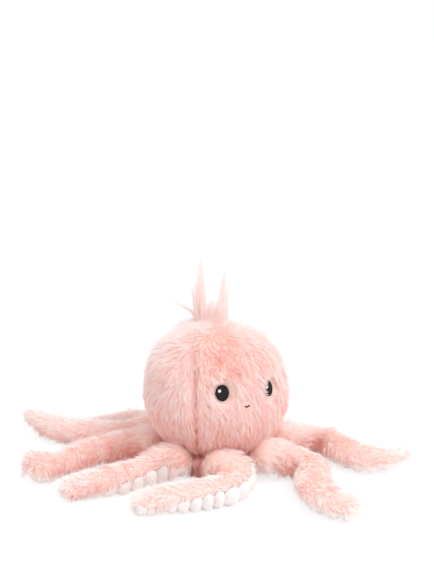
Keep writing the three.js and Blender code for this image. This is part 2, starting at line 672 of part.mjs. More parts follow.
// Both lengths of one arm. The first ends in the hollow's rim, and its filling ends flat behind
// the ball.
function addArm(arm, number) {
  const joint = sectionAt(arm, JOINT_SHARE);
  const rim = JOINT_SHARE - (joint.halfHeight * Math.sin(radians(SOCKET_EDGE_ANGLE))) / arm.length;
  const behindBall = JOINT_SHARE - (joint.halfHeight + 2 * SOCKET_GAP + FILL_GAP) / arm.length;
  const tipEnd = 1 - (sectionAt(arm, 1).halfHeight / arm.length);
  const first = stationsOf(arm, 0, rim, ROOT_DOME_ANGLES, []);
  const firstFilling = ringsUpTo(fillingRings(first), first, behindBall);
  const second = stationsOf(arm, JOINT_SHARE, tipEnd, DOME_ANGLES, DOME_ANGLES);
  addLength(arm, `arm_${number}_root`, first, firstFilling, socketSolid(joint));
  addLength(arm, `arm_${number}_tip`, second, fillingRings(second), null);
  const root = sectionAt(arm, 0);
  octopus.userData.pivots[`arm_${number}_root_lift`] = [root.place.x, root.place.y, root.centre];
  octopus.userData.pivots[`arm_${number}_tip_curl`] = [joint.place.x, joint.place.y, joint.centre];
  octopus.userData.headings[`arm_${number}_root_lift`] = arm.angle;
  octopus.userData.headings[`arm_${number}_tip_curl`] = THREE.MathUtils.radToDeg(joint.heading);
}

// Head and face
const rightEye = faceMatrix(-EYE_ANGLE, EYE_RISE_ANGLE + FACE_ROLL_ANGLE / 2, eyeSeat);
const leftEye = faceMatrix(EYE_ANGLE, EYE_RISE_ANGLE - FACE_ROLL_ANGLE / 2, eyeSeat);
const mouth = faceMatrix(0, MOUTH_RISE_ANGLE, eyeSeat);
const frontPanel = toSolid(headPanelMesh(0))
  .subtract(hollowSolid(EYE_WIDTH, EYE_HEIGHT, rightEye))
  .subtract(hollowSolid(EYE_WIDTH, EYE_HEIGHT, leftEye))
  .subtract(hollowSolid(2 * MOUTH_RADIUS, MOUTH_RADIUS, mouth));
addPiece(octopus, 'head_front_panel', solidToGeometry(frontPanel), pinkPlush);
addPiece(octopus, 'head_left_panel', toGeometry(headPanelMesh(radians(90))), pinkPlush);
addPiece(octopus, 'head_back_panel', toGeometry(headPanelMesh(radians(180))), pinkPlush);
addPiece(octopus, 'head_right_panel', toGeometry(headPanelMesh(radians(270))), pinkPlush);
addPiece(octopus, 'head_stuffing', headFillingGeometry(), whiteFilling);
addPiece(octopus, 'base_panel', basePanelGeometry(), pinkPlush);
for (const [side, matrix] of [['left', leftEye], ['right', rightEye]]) {
  const eye = patchGeometry(EYE_WIDTH, EYE_HEIGHT, EYE_THICKNESS, CLOTH_GAP, matrix, EYE_SIDES);
  addPiece(octopus, `eye_${side}`, eye, blackThread);
  const offset = new THREE.Matrix4().makeTranslation(-HIGHLIGHT_SIDE, HIGHLIGHT_UP, 0);
  const highlightSeat = EYE_THICKNESS + 2 * CLOTH_GAP;
  const highlight = patchGeometry(2 * HIGHLIGHT_RADIUS, 2 * HIGHLIGHT_RADIUS, HIGHLIGHT_THICKNESS,
    highlightSeat, matrix.clone().multiply(offset), HIGHLIGHT_SIDES);
  addPiece(octopus, `eye_${side}_highlight`, highlight, whiteThread);
}
addPiece(octopus, 'mouth_stitch', mouthGeometry(mouth), brownThread);
addPiece(octopus, 'crown_tuft', tuftGeometry(), paleHair);

// Arms, numbered from beside the face round towards the toy's left, and where each of their
// joints is
octopus.userData.pivots = {};
octopus.userData.headings = {};
ARMS.forEach((table, i) => {
  const angle = FIRST_ARM_ANGLE + i * ARM_SPACING_ANGLE;
  addArm({ ...walkArm(table, angle), angle }, i + 1);
});

export default octopus;
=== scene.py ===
import math
from collections import namedtuple

import bmesh
import bpy
import numpy as np
from mathutils import Matrix, Vector
from mathutils.kdtree import KDTree


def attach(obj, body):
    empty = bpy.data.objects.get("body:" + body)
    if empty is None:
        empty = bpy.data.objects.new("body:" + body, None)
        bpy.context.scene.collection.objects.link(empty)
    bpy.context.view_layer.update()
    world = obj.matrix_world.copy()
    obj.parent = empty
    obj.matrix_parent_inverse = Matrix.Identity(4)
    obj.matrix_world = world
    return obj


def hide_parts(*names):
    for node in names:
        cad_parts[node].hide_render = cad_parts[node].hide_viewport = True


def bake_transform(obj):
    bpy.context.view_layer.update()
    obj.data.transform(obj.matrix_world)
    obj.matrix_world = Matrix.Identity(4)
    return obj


# A plush octopus: a stuffed head under long pile, a crown of long hair and eight stuffed arms with
# white puffed undersides. Sizes are in millimetres and become metres where a mesh is made.

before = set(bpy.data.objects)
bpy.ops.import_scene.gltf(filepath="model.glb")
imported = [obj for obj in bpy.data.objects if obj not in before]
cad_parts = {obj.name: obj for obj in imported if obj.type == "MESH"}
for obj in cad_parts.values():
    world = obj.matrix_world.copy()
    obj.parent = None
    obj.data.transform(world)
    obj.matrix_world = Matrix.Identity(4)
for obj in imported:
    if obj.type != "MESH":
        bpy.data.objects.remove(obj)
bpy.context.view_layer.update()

MM = 0.001
UP = np.array([0, 0, 1.0])
GOLDEN = (1 + math.sqrt(5)) / 2

# Camera: where it looks from, and the size of the picture and the place of the head in it in pixels
VIEW_TURN = -28
VIEW_RISE = 20
VIEW_DISTANCE = 1.5
FOCAL_PIXELS = 1455
PICTURE = (434, 579)
HEAD_PIXEL = (216, 389)
SENSOR = 36

# Head. The upper front seams lie in upright planes that pass its centre at SEAM_SIDE of its radius
HEAD_CENTRE = 78.0
HEAD_SKIN_RADIUS = 72.2
HEAD_SKIN_WALL = 2.2
NECK_HEIGHT = 25.0
NECK_ANGLE = math.acos((NECK_HEIGHT - HEAD_CENTRE) / HEAD_SKIN_RADIUS)
SEAM_DIP = 2.6
SEAM_WIDTH = 3.75
SEAM_SIDE = 0.285
SEAM_GAP = 0.08

# Face
EYE_ANGLE = 22.75
EYE_RISE_ANGLE = 15.1
FACE_ROLL_ANGLE = 3.0
EYE_SEAT = 69.0
EYE_HALF_WIDTH = 6.85
EYE_HALF_HEIGHT = 8.15
HIGHLIGHT_RADIUS = 1.6
HIGHLIGHT_LIFT = 1.15
HIGHLIGHT_OFFSET = (-2.7, 2.1)
MOUTH_ANGLE = -3
MOUTH_RISE_ANGLE = 3.8
MOUTH_RADIUS = 3.8
MOUTH_START = 224
MOUTH_SWEEP = 100
MOUTH_STITCHES = 3
MOUTH_THREAD_RADIUS = 0.72
MOUTH_INSET = 0.45

# Base: the line that is turned into the bowl under the head, as radii and heights
BASE_PROFILE = ((0, 0.2), (34, 0.2), (38.5, 0.6), (43.5, 4.2), (47, 9.5), (48.6, 15), (48.9, 19),
                (47.6, 23.6))
BASE_WALL = 1.6

# Arms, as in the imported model
ARM_LENGTH = 175.0
ARM_WIDTH = 35.0
ARM_HEIGHT = 29.0
ARM_BALL = 15.6
ROOT_RADIUS = 65.51
ROOT_HEIGHT = 19.0
ROOT_DROP = 38.0
TIP_RISE = 9.0
FLOOR_CUT = 0.5
ARM_CORNERS = (205, 255, 285, 335, -25, 0, 45, 90, 135, 180)
TURN_STATIONS = (0, 0.2, 0.4, 0.5, 0.7, 0.85, 1)
SIZE_STATIONS = (0, 0.15, 0.35, 0.5, 0.7, 0.88, 1)
WIDTH_SHARES = (1, 0.93, 0.96, 1, 1, 0.93, 0.84)
HEIGHT_SHARES = (1, 1.03, 1, 1, 0.97, 0.93, 0.88)
STEPS = 120
JOINT_SHARE = 0.5
SPLIT_SHARE = JOINT_SHARE - 0.03

# One row an arm: headings of the centre line against the arm's own angle, turns of the underside to a
# side, shares of the length, the girth and the rise of the tip; then the size of its end against an
# even one, how far back that reaches, the depth of a neck before it, and its pile's tone: painted light
# above 0, painted shade below 0
ARM_FIELDS = ("turns", "rolls", "length", "girth", "rise", "tip_size", "tip_reach", "neck", "tone")
ARMS = (
    ((47, -10, -74, -87, -78, -54), (-25, -32), 0.81, 1, 0, 0.84, 58, 0, 0.15),
    ((60, 11, -56, -32, 2, 44), (0, 16), 0.94, 1, 0, 1, 58, 0, 0.2),
    ((46, 3, -69, -32, 26, 48), (0, 14), 0.99, 1, 0.8, 0.52, 58, 0, 0.08),
    ((10, 30, 50, 70, 75, 60), (0, 0), 0.91, 1, 0, 1, 58, 0, 0),
    ((38, 76, 90, 76, 67, 67), (0, 0), 0.85, 0.84, 0, 0.6, 58, 0, 0),
    ((33, 50, 32, 2, -4, -9), (0, 0), 1.01, 0.97, 1, 0.5, 58, 0, 0),
    ((-39, -4, 31, 40, 37, 30), (0, -8), 0.82, 1, 0, 1.36, 36, 0.12, -0.15),
    ((-40, -17, -19, -31, -33, -33), (-45, -20), 0.71, 1, 0, 0.8, 58, 0, 0),
)

# Arms' cloth. At shares of an arm's length: how far round its front edge the puffs come up in
# degrees, and how bare they lie instead of behind a fringe
ARM_SKIN_INSET = 1.6
ARM_SKIN_WALL = 0.8
PUFFS_INSET = 0.2
ROOT_SWELL = (7.4, 2.0)
ROOT_SWELL_REACH = 48.0
SHOWN_STATIONS = (0, 0.15, 0.3, 0.5, 0.65, 0.8, 0.92, 1)
PUFFS_SHOWN = {1: (4, 18, 30, 20, 4, -20, -8, 14), 8: (-26, 4, 6, -4, -18, -28, -30, -30)}
PUFFS_BARE = {1: (1, 1, 1, 1, 0.8, 0, 0.4, 1), 8: (0, 1, 1, 0.9, 0.2, 0, 0, 0)}
PUFFS_HIDDEN = (-6,) * 8
COVER_EDGES = (-25.0, 205.0)
EDGE_GAP = 0.6
PUFF_PITCH = 13.4
PITCHES = {1: 11.0, 8: 14.0}
PUFF_TUCK = 4.6
PUFF_SWELL = 3.2
SCALLOP = 15.0
FLOOR_GAP = 0.2

# Pile: strands a square millimetre, how long they are, and their bends from root to tip
HEAD_PILE_DENSITY = 1.08
ARM_PILE_DENSITY = 0.86
FUZZ_DENSITY = 0.9
HEAD_PILE_LENGTH = 11.0
ARM_PILE_LENGTH = 8.5
FUZZ_LENGTH = 2.3
BASE_STRANDS = 9000
BENDS = 2
TAPER = (1, 0.85)
FLATNESS = 0.5

# Colours, from 0 to 255 as they show on a screen. Pile: the painted shade that a low tone mixes in, a
# strand's root, body and tip, then how strong patches of the body's colour are, and the hair's roughness
# and sheen
PILES = {
    "pink_pile": ((252, 194, 180), (255, 219, 212), (255, 244, 241), (255, 251, 250), 0.35),
    "pale_pile": ((252, 182, 165), (255, 209, 199), (255, 246, 243), (255, 253, 252), 0.3),
    # the pile under the head: the pink deepened throughout as painted shade
    "painted_shade_pile": ((246, 150, 130), (255, 168, 148), (255, 212, 200), (255, 236, 230), 0.3),
    "white_pile": ((250, 234, 230), (252, 240, 236), (255, 250, 248), (255, 254, 253), 0.1),
    "pale_hair": ((253, 222, 215), (255, 230, 224), (255, 238, 234), (255, 243, 240), 0.1, 0.6, 0.3),
}
# Backing: pale and deep colour, rows of loops a metre, height of a loop
BACKINGS = {
    "pink_backing": ((254, 222, 213), (250, 204, 192), 900.0, 0.4),
    "white_minky": ((255, 252, 251), (252, 244, 242), 700.0, 0.5),
}
FILLING = ((222, 216, 206), (246, 243, 236))
# Thread: deep and pale colour, roughness
THREADS = {
    "black_thread": ((20, 16, 19), (36, 30, 34), 0.6),
    "white_thread": ((226, 222, 218), (252, 251, 249), 0.45),
    "brown_thread": ((52, 30, 32), (74, 46, 48), 0.6),
}


# --- small helpers

def unit(v):
    return v / np.maximum(np.linalg.norm(v, axis=-1, keepdims=True), 1e-9)


def mix(a, b, share):
    return a + (b - a) * share


def smooth(x):
    x = np.clip(x, 0, 1)
    return x * x * (3 - 2 * x)


def bell(x):
    return np.exp(-x ** 2)


def ahead(angle):
    """Level directions at angles round the toy, with its front at 0."""
    return np.stack([np.sin(angle), -np.cos(angle), 0 * angle], -1)


def within(direction, normal):
    """The part of directions that lies in the cloth with the given normals."""
    return direction - normal * np.sum(direction * normal, 1, keepdims=True)


def ripple(points, size, seed):
    """Smooth noise between about -1 and 1 over points, with swells of about the given size."""
    rng = np.random.default_rng(seed)
    total = np.zeros(len(points))
    for _ in range(7):
        way = unit(rng.normal(size=3)) * rng.uniform(0.6, 1.5) * 2 * math.pi / size / 1.6
        total += np.sin(points @ way + rng.uniform(0, 2 * math.pi))
    return total / 2.6


def scatter(rng, count, along_jitter, across_jitter):
    """Shares along and across a cloth, spread evenly but not in rows."""
    i = np.arange(count) + 0.5
    along = (i / count + rng.normal(0, along_jitter, count)) % 1
    return along, (i * GOLDEN + rng.uniform(-across_jitter, across_jitter, count)) % 1


def search_tree(points):
    tree = KDTree(len(points))
    for i, point in enumerate(points):
        tree.insert(point, i)
    tree.balance()
    return tree


def add_to_scene(name, data):
    thing = bpy.data.objects.new(name, data)
    bpy.context.scene.collection.objects.link(thing)
    return thing


def new_object(name, mesh, material):
    thing = add_to_scene(name, mesh)
    mesh.materials.append(materials[material])
    return thing


def finish_shape(name, shape, material):
    """An object made of a closed shape, with its faces turned outward."""
    bmesh.ops.recalc_face_normals(shape, faces=shape.faces)
    mesh = bpy.data.meshes.new(name)
    shape.to_mesh(mesh)
    shape.free()
    mesh.shade_smooth()
    return new_object(name, mesh, material)


# --- camera

def aim(thing, way):
    thing.rotation_mode = "QUATERNION"
    thing.rotation_quaternion = way.to_track_quat("-Z", "Y")


def way_out(turn, rise):
    return Vector((math.sin(turn) * math.cos(rise), -math.cos(turn) * math.cos(rise), math.sin(rise)))


def make_camera():
    """Looks at the head from its right front and a little above, as the photograph does."""
    turn, rise = math.radians(VIEW_TURN), math.radians(VIEW_RISE)
    data = bpy.data.cameras.new("camera")
    data.sensor_width = SENSOR
    data.lens = SENSOR * FOCAL_PIXELS / PICTURE[1]
    camera = add_to_scene("camera", data)
    camera.location = Vector((0, 0, HEAD_CENTRE * MM)) + way_out(turn, rise) * VIEW_DISTANCE
    # the head isn't in the middle of the picture, so the camera looks a little past it
    rise -= math.atan((HEAD_PIXEL[1] - PICTURE[1] / 2) / FOCAL_PIXELS)
    turn += math.atan((HEAD_PIXEL[0] - PICTURE[0] / 2) / FOCAL_PIXELS)
    aim(camera, -way_out(turn, rise))
    bpy.context.scene.camera = camera


# --- materials

def group(name, inputs, output):
    """A node group, with its input node's outputs in the order of inputs, and its output node."""
    tree = bpy.data.node_groups.new(name, "ShaderNodeTree")
    for label, kind, value in inputs:
        socket = tree.interface.new_socket(label, in_out="INPUT", socket_type="NodeSocket" + kind)
        if value is not None:
            socket.default_value = value
    for label, kind in output:
        tree.interface.new_socket(label, in_out="OUTPUT", socket_type="NodeSocket" + kind)
    start = tree.nodes.new("NodeGroupInput")
    return tree, start.outputs[:len(inputs)], tree.nodes.new("NodeGroupOutput")


def feed(node, inputs):
    """Sets a node's inputs to values, or links them to other nodes' outputs."""
    for label, value in inputs.items():
        if isinstance(value, bpy.types.NodeSocket):
            node.id_data.links.new(value, node.inputs[label])
        else:
            node.inputs[label].default_value = value
    return node


def add_noise(tree, coordinates, scale, detail=2.0, rough=0.5):
    noise = tree.nodes.new("ShaderNodeTexNoise")
    feed(noise, {"Scale": scale, "Detail": detail, "Roughness": rough, "Vector": coordinates})
    return noise.outputs["Fac"]


def add_math(tree, what, a, b):
    node = tree.nodes.new("ShaderNodeMath")
    node.operation = what
    return feed(node, {0: a, 1: b}).outputs[0]


def add_range(tree, value, low, high, to_low=0, to_high=1):
    node = tree.nodes.new("ShaderNodeMapRange")
    feed(node, {"From Min": low, "From Max": high, "To Min": to_low, "To Max": to_high, "Value": value})
    return node.outputs["Result"]


def add_mix(tree, share, a, b):
    node = tree.nodes.new("ShaderNodeMix")
    node.data_type = "RGBA"
    return feed(node, {0: share, 6: a, 7: b}).outputs[2]


def add_attribute(tree, name):
    node = tree.nodes.new("ShaderNodeAttribute")
    node.attribute_name = name
    return node.outputs["Fac"]


def add_bump(tree, shader, height, distance, strength):
    bump = tree.nodes.new("ShaderNodeBump")
    feed(bump, {"Distance": distance * MM, "Strength": strength, "Height": height})
    feed(shader, {"Normal": bump.outputs["Normal"]})


def use_group(tree, kind, **inputs):
    node = tree.nodes.new("ShaderNodeGroup")
    node.node_tree = kind
    return feed(node, inputs)


def colour(shown):
    """A colour given as it shows on a screen, from 0 to 255."""
    return tuple((c / 255 / 12.92 if c < 11 else ((c / 255 + 0.055) / 1.055) ** 2.4) for c in shown) + (1,)


def pile_tint_group():
    """Colour of a strand of pile: deeper at its root, paler at its tip, a little different from strand to
    strand and in broad patches over the cloth. Its tone also carries painted light and shade: a high tone
    makes it paler, and a low one mixes in a painted shade colour."""
    tree, (place, along, tone, root, body, tip, deep, patches), end = group("pile_tint", (
        ("Place", "Vector", None), ("Along", "Float", 0.5), ("Tone", "Float", 0.5),
        ("Root", "Color", None), ("Body", "Color", None), ("Tip", "Color", None),
        ("Deep", "Color", None), ("Patches", "Float", 0.3)), (("Colour", "Color"),))
    lower = add_mix(tree, add_range(tree, along, 0.0, 0.36), root, body)
    strand = add_mix(tree, add_range(tree, along, 0.4, 1.0), lower, tip)
    patch = add_range(tree, add_noise(tree, place, 45, 3), 0.35, 0.7)
    patched = add_mix(tree, add_math(tree, "MULTIPLY", patch, patches), strand, body)
    shade = tree.nodes.new("ShaderNodeHueSaturation")
    feed(shade, {"Value": add_range(tree, tone, 0, 1, 0.95, 1.05),
                 "Saturation": add_range(tree, tone, 0, 1, 1.3, 0.45), "Color": patched})
    # painted shade: the lower a strand's tone, the more of the deep colour is mixed in
    low = add_math(tree, "POWER", add_math(tree, "SUBTRACT", 1.0, tone), 2.6)
    painted_shade_share = add_math(tree, "MULTIPLY", low, 0.75)
    feed(end, {"Colour": add_mix(tree, painted_shade_share, shade.outputs["Color"], deep)})
    return tree


def knit_group():
    """The knitted backing that pile grows from: fine loops in rows, as a mask and a height."""
    tree, (place, rows), end = group("knit", (("Place", "Vector", None), ("Rows", "Float", 900.0)),
                                     (("Mask", "Float"), ("Height", "Float")))
    scaled = tree.nodes.new("ShaderNodeVectorMath")
    scaled.operation = "SCALE"
    feed(scaled, {0: place, "Scale": rows})
    cells = tree.nodes.new("ShaderNodeTexVoronoi")
    feed(cells, {"Scale": 1.0, "Randomness": 0.55, "Vector": scaled.outputs[0]})
    feed(end, {"Mask": add_range(tree, add_noise(tree, place, 60, 3), 0.3, 0.75),
               "Height": add_range(tree, cells.outputs["Distance"], 0.1, 0.75, 1, 0)})
    return tree


def twist_group():
    """Thread: fine slanting fibres across each stitch, as a mask."""
    tree, (place, fineness), end = group("thread_twist", (
        ("Place", "Vector", None), ("Fineness", "Float", 4000.0)), (("Mask", "Float"),))
    stretch = tree.nodes.new("ShaderNodeMapping")
    feed(stretch, {"Rotation": (0.0, 0.5, 0.4), "Scale": (1, 1, 0.22), "Vector": place})
    feed(end, {"Mask": add_range(tree, add_noise(tree, stretch.outputs[0], fineness), 0.35, 0.65)})
    return tree


def start_material(name, roughness, sheen=0.0, sheen_roughness=0.5, sheen_tint=(1, 1, 1, 1)):
    material = bpy.data.materials.new(name)
    material.use_nodes = True
    tree = material.node_tree
    shader = feed(tree.nodes["Principled BSDF"], {
        "Roughness": roughness, "Specular IOR Level": 0.25, "Sheen Weight": sheen,
        "Sheen Roughness": sheen_roughness, "Sheen Tint": sheen_tint})
    return material, tree, shader, tree.nodes.new("ShaderNodeTexCoord").outputs["Object"]


def pile_material(name, deep, root, body, tip, patches, roughness=0.85, sheen=0.25):
    material, tree, shader, place = start_material(name, roughness, sheen, 0.55, colour(tip))
    along, tone = add_attribute(tree, "along"), add_attribute(tree, "tone")
    tint = use_group(tree, pile_tint, Place=place, Along=along, Tone=tone, Root=colour(root),
                     Body=colour(body), Tip=colour(tip), Deep=colour(deep), Patches=patches)
    feed(shader, {"Base Color": tint.outputs["Colour"]})
    return material


def backing_material(name, pale, deep, rows, bump):
    pale, deep = colour(pale), colour(deep)
    material, tree, shader, place = start_material(name, 0.92, 0.2, 0.6, pale)
    loops = use_group(tree, knit, Place=place, Rows=rows).outputs
    tinted = add_mix(tree, loops["Mask"], deep, pale)
    lit = add_mix(tree, add_math(tree, "MULTIPLY", loops["Height"], 0.35), tinted, pale)
    feed(shader, {"Base Color": lit})
    add_bump(tree, shader, loops["Height"], bump, 0.7)
    return material


def filling_material(name, deep, pale):
    material, tree, shader, place = start_material(name, 1.0, 0.3, 0.7)
    fibres, lumps = add_noise(tree, place, 900, 5, 0.7), add_noise(tree, place, 90, 3)
    both = add_math(tree, "ADD", add_math(tree, "MULTIPLY", fibres, 0.6),
                    add_math(tree, "MULTIPLY", lumps, 0.6))
    feed(shader, {"Base Color": add_mix(tree, add_range(tree, both, 0.4, 0.8), colour(deep), colour(pale))})
    add_bump(tree, shader, both, 1.2, 0.8)
    return material


def thread_material(name, deep, pale, roughness):
    material, tree, shader, place = start_material(name, roughness)
    fibres = use_group(tree, twist, Place=place, Fineness=3500.0).outputs["Mask"]
    feed(shader, {"Base Color": add_mix(tree, fibres, colour(deep), colour(pale))})
    add_bump(tree, shader, fibres, 0.06, 0.5)
    return material


# --- arms' shape

def plan_arm(number):
    """An arm's row of the table, with its path over the floor and the places where its parts end."""
    arm = dict(zip(ARM_FIELDS, ARMS[number - 1]), number=number, angle=-22.5 + 45 * (number - 1),
               bare=PUFFS_BARE.get(number, (0,) * 8), shown=PUFFS_SHOWN.get(number, PUFFS_HIDDEN))
    # the elbow's piece of the path is straight, so its heading stands at both of its ends
    arm["turns"] = (*arm["turns"][:3], *arm["turns"][2:])
    arm["length"] *= ARM_LENGTH
    shares = (np.arange(STEPS) + 0.5) / STEPS
    heading = np.radians(arm["angle"] + np.interp(shares, TURN_STATIONS, arm["turns"]))
    start = ahead(np.radians(arm["angle"])) * ROOT_RADIUS
    arm["points"] = np.cumsum(np.vstack([start, ahead(heading) * arm["length"] / STEPS]), 0)
    arm["first"] = -ARM_BALL * math.pi / 2
    arm["split"] = SPLIT_SHARE * arm["length"]
    arm["tip"] = arm["length"] - ARM_HEIGHT / 2 * HEIGHT_SHARES[-1] * arm["girth"]
    arm["last"] = arm["tip"] + arm_section(arm, np.array([1.0]))[3][0] * math.pi / 2
    return arm


def arm_section(arm, share):
    """Middle, heading, half width, half height and roll of an arm's section at shares of its length."""
    share = np.clip(share, 0, 1)
    steps = np.arange(STEPS + 1)
    place = np.stack([np.interp(share * STEPS, steps, arm["points"][:, k]) for k in (0, 1)], 1)
    width = np.array(WIDTH_SHARES) * arm["girth"] * ARM_WIDTH / 2
    height = np.array(HEIGHT_SHARES) * arm["girth"] * ARM_HEIGHT / 2
    width[0] = height[0] = ARM_BALL
    half_width = np.interp(share, SIZE_STATIONS, width)
    half_height = np.interp(share, SIZE_STATIONS, height)
    left = (1 - share) * arm["length"]
    reach = arm["tip_reach"]
    pointed = mix(1, arm["tip_size"], smooth(1 - left / reach))
    pointed = pointed - arm["neck"] * bell((left - reach * 1.25) / 15)
    roll = np.interp(share, (0.25, 0.75), arm["rolls"])
    corners = np.radians(np.array(ARM_CORNERS)[:, None] + roll[None])
    lying = np.max(-np.sin(corners), 0) * half_height * np.where(arm["rise"] > 0, 1, pointed) - FLOOR_CUT
    drop = smooth(share * arm["length"] / ROOT_DROP)
    rise = np.interp(share, (0, 0.66, 1), (0, 0, 1)) ** 1.5 * arm["rise"] * TIP_RISE
    root = 1 - smooth(share * arm["length"] / ROOT_SWELL_REACH)
    half_width = half_width * pointed + ROOT_SWELL[0] * root
    half_height = half_height * pointed + ROOT_SWELL[1] * root
    middle = np.column_stack([place, mix(ROOT_HEIGHT, lying, drop) + rise + ROOT_SWELL[1] * root])
    heading = np.radians(arm["angle"] + np.interp(share, TURN_STATIONS, arm["turns"]))
    return middle, heading, half_width, half_height, roll


def bare_share(arm, at):
    """1 where an arm's puffs lie bare and 0 where a fringe hangs over them."""
    return np.interp(at / arm["length"], SHOWN_STATIONS, arm["bare"])


def puff_wave(arm, at):
    """1 at the middle of each puff and 0 in the tucks between them."""
    return np.abs(np.sin(math.pi * at / PITCHES.get(arm["number"], PUFF_PITCH))) ** 0.6


def cover_edges(arm, at):
    """The angles of the cover's two edges; the front one is higher where more of the puffs shows,
    and goes round each bare puff."""
    shown = np.interp(at / arm["length"], SHOWN_STATIONS, arm["shown"])
    shown = shown + SCALLOP * bare_share(arm, at) * (puff_wave(arm, at) - 0.65)
    return COVER_EDGES[0] + 0 * at, COVER_EDGES[1] - shown


def under_edges(arm, at):
    back, front = cover_edges(arm, at)
    return front + EDGE_GAP, back + 360 - EDGE_GAP


def arm_lean(arm, at):
    """How far round the ball at an arm's root or the round end at its tip a place lies, in radians."""
    beyond = (at - arm["tip"]) / (arm["last"] - arm["tip"]) * math.pi / 2
    return np.where(at < 0, at / ARM_BALL, np.where(at > arm["tip"], beyond, 0))


def arm_surface(arm, at, angle):
    """Places, normals and forward directions on an arm, at distances along it and angles round it."""
    middle, heading, wide, high, roll = arm_section(arm, np.clip(at, 0, arm["tip"]) / arm["length"])
    lean = arm_lean(arm, at)
    along, scale = np.sin(lean), np.cos(lean)
    turn = np.radians(angle + roll)
    forward = ahead(heading)
    side = np.cross(forward, UP)
    across = side * (wide * np.cos(turn))[:, None] + UP * (high * np.sin(turn))[:, None]
    place = middle + across * scale[:, None] + forward * (along * high)[:, None]
    outward = side * (high * np.cos(turn))[:, None] + UP * (wide * np.sin(turn))[:, None]
    normal = unit(unit(outward) * scale[:, None] + forward * along[:, None])
    return place, normal, forward


# --- cloth

def make_sheet(columns, rows, place, weld):
    """A sheet with its corners where place puts them, from their shares across and along."""
    sheet = bmesh.new()
    bmesh.ops.create_grid(sheet, x_segments=columns, y_segments=rows, size=0.5)
    shares = np.array([v.co[:2] for v in sheet.verts]) + 0.5
    for vert, corner in zip(sheet.verts, place(shares[:, 0], shares[:, 1])):
        vert.co = Vector(corner) * MM
    bmesh.ops.remove_doubles(sheet, verts=sheet.verts, dist=weld * MM)
    return sheet


def thicken(name, sheet, wall, material, inward):
    """Gives a sheet its thickness on the side that inward points to, and closes it."""
    bmesh.ops.recalc_face_normals(sheet, faces=sheet.faces)
    sheet.normal_update()
    votes = sum(f.normal.dot(inward(f.calc_center_median())) * f.calc_area() for f in sheet.faces)
    if votes > 0:
        bmesh.ops.reverse_faces(sheet, faces=sheet.faces)
        sheet.normal_update()
    sunk = sheet.verts.layers.float_vector.new("sunk")
    for vert in sheet.verts:
        vert[sunk] = vert.normal * (-wall * MM)
    everything = sheet.faces[:] + sheet.edges[:] + sheet.verts[:]
    inner = bmesh.ops.extrude_face_region(sheet, geom=everything, use_keep_orig=True)
    for vert in inner["geom"]:
        if isinstance(vert, bmesh.types.BMVert):
            vert.co += vert[sunk]
    sheet.verts.layers.float_vector.remove(sunk)
    return finish_shape(name, sheet, material)


def to_head(place):
    return Vector((0, 0, HEAD_CENTRE * MM)) - place


def settle(piece, node, arm=None):
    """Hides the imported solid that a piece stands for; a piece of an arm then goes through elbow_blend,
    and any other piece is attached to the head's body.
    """
    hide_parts(node)
    if arm:
        elbow_blend(piece, arm)
    else:
        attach(piece, "head")


def elbow_blend(piece, arm):
    """Bakes a piece's place into its mesh. It works out the arm's middle and heading at the elbow, but uses
    neither.
    """
    middle, heading = (a[0] for a in arm_section(arm, np.array([JOINT_SHARE]))[:2])
    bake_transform(piece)


# --- pile

def grow(name, lines, thick, normals, tones, material, taper=TAPER):
    """A mesh of closed three-sided strands. lines holds each strand's points from root to tip, thick
    its half width, and taper shares of that at all of its points but the last, where it is pointed."""
    count, rings = lines.shape[0], lines.shape[1] - 1
    tangent = np.empty_like(lines)
    tangent[:, 0] = lines[:, 1] - lines[:, 0]
    tangent[:, -1] = lines[:, -1] - lines[:, -2]
    tangent[:, 1:-1] = lines[:, 2:] - lines[:, :-2]
    tangent = unit(tangent)
    across = unit(np.cross(tangent, normals[:, None]))
    other = np.cross(across, tangent)
    turns = np.radians([90, 210, 330])
    radial = (across[:, :rings, None] * np.cos(turns)[None, None, :, None]
              + other[:, :rings, None] * (FLATNESS * np.sin(turns))[None, None, :, None])
    widths = thick[:, None] * np.array(taper)
    ring = lines[:, :rings, None] + radial * widths[:, :, None, None]
    size = rings * 3 + 1
    corners = np.concatenate([ring.reshape(count, rings * 3, 3), lines[:, -1:]], 1)
    faces = [(0, 1, 2)]
    for r in range(rings - 1):
        for k in range(3):
            a, b = 3 * r + k, 3 * r + (k + 1) % 3
            faces += [(a, a + 3, b + 3), (a, b + 3, b)]
    for k in range(3):
        faces.append((3 * (rings - 1) + k, size - 1, 3 * (rings - 1) + (k + 1) % 3))
    every = (np.array(faces)[None] + (np.arange(count) * size)[:, None, None]).reshape(-1, 3)
    mesh = bpy.data.meshes.new(name)
    mesh.vertices.add(count * size)
    mesh.vertices.foreach_set("co", (corners * MM).astype(np.float32).ravel())
    mesh.loops.add(len(every) * 3)
    mesh.loops.foreach_set("vertex_index", every.astype(np.int32).ravel())
    mesh.polygons.add(len(every))
    mesh.polygons.foreach_set("loop_start", np.arange(0, len(every) * 3, 3, dtype=np.int32))
    mesh.update(calc_edges=True)
    mesh.shade_flat()
    along = np.append(np.repeat(np.arange(rings) / rings, 3), 1.0)
    for label, values in (("along", np.tile(along, count)), ("tone", np.repeat(tones, size))):
        mesh.attributes.new(label, "FLOAT", "POINT").data.foreach_set("value", values.astype(np.float32))
    # each strand has its own cell of the map, with its root below and its tip above
    cells = math.ceil(math.sqrt(count))
    cell = np.column_stack([np.arange(count) % cells, np.arange(count) // cells])
    inner = np.column_stack([np.append(np.tile((0.2, 0.5, 0.8), rings), 0.5), 0.1 + 0.8 * along])
    layout = (cell[:, None] + inner[None]).reshape(-1, 2) / cells
    spots = layout[every.ravel()].astype(np.float32).ravel()
    mesh.uv_layers.new(name="OFBake").uv.foreach_set("vector", spots)
    return new_object(name, mesh, material)


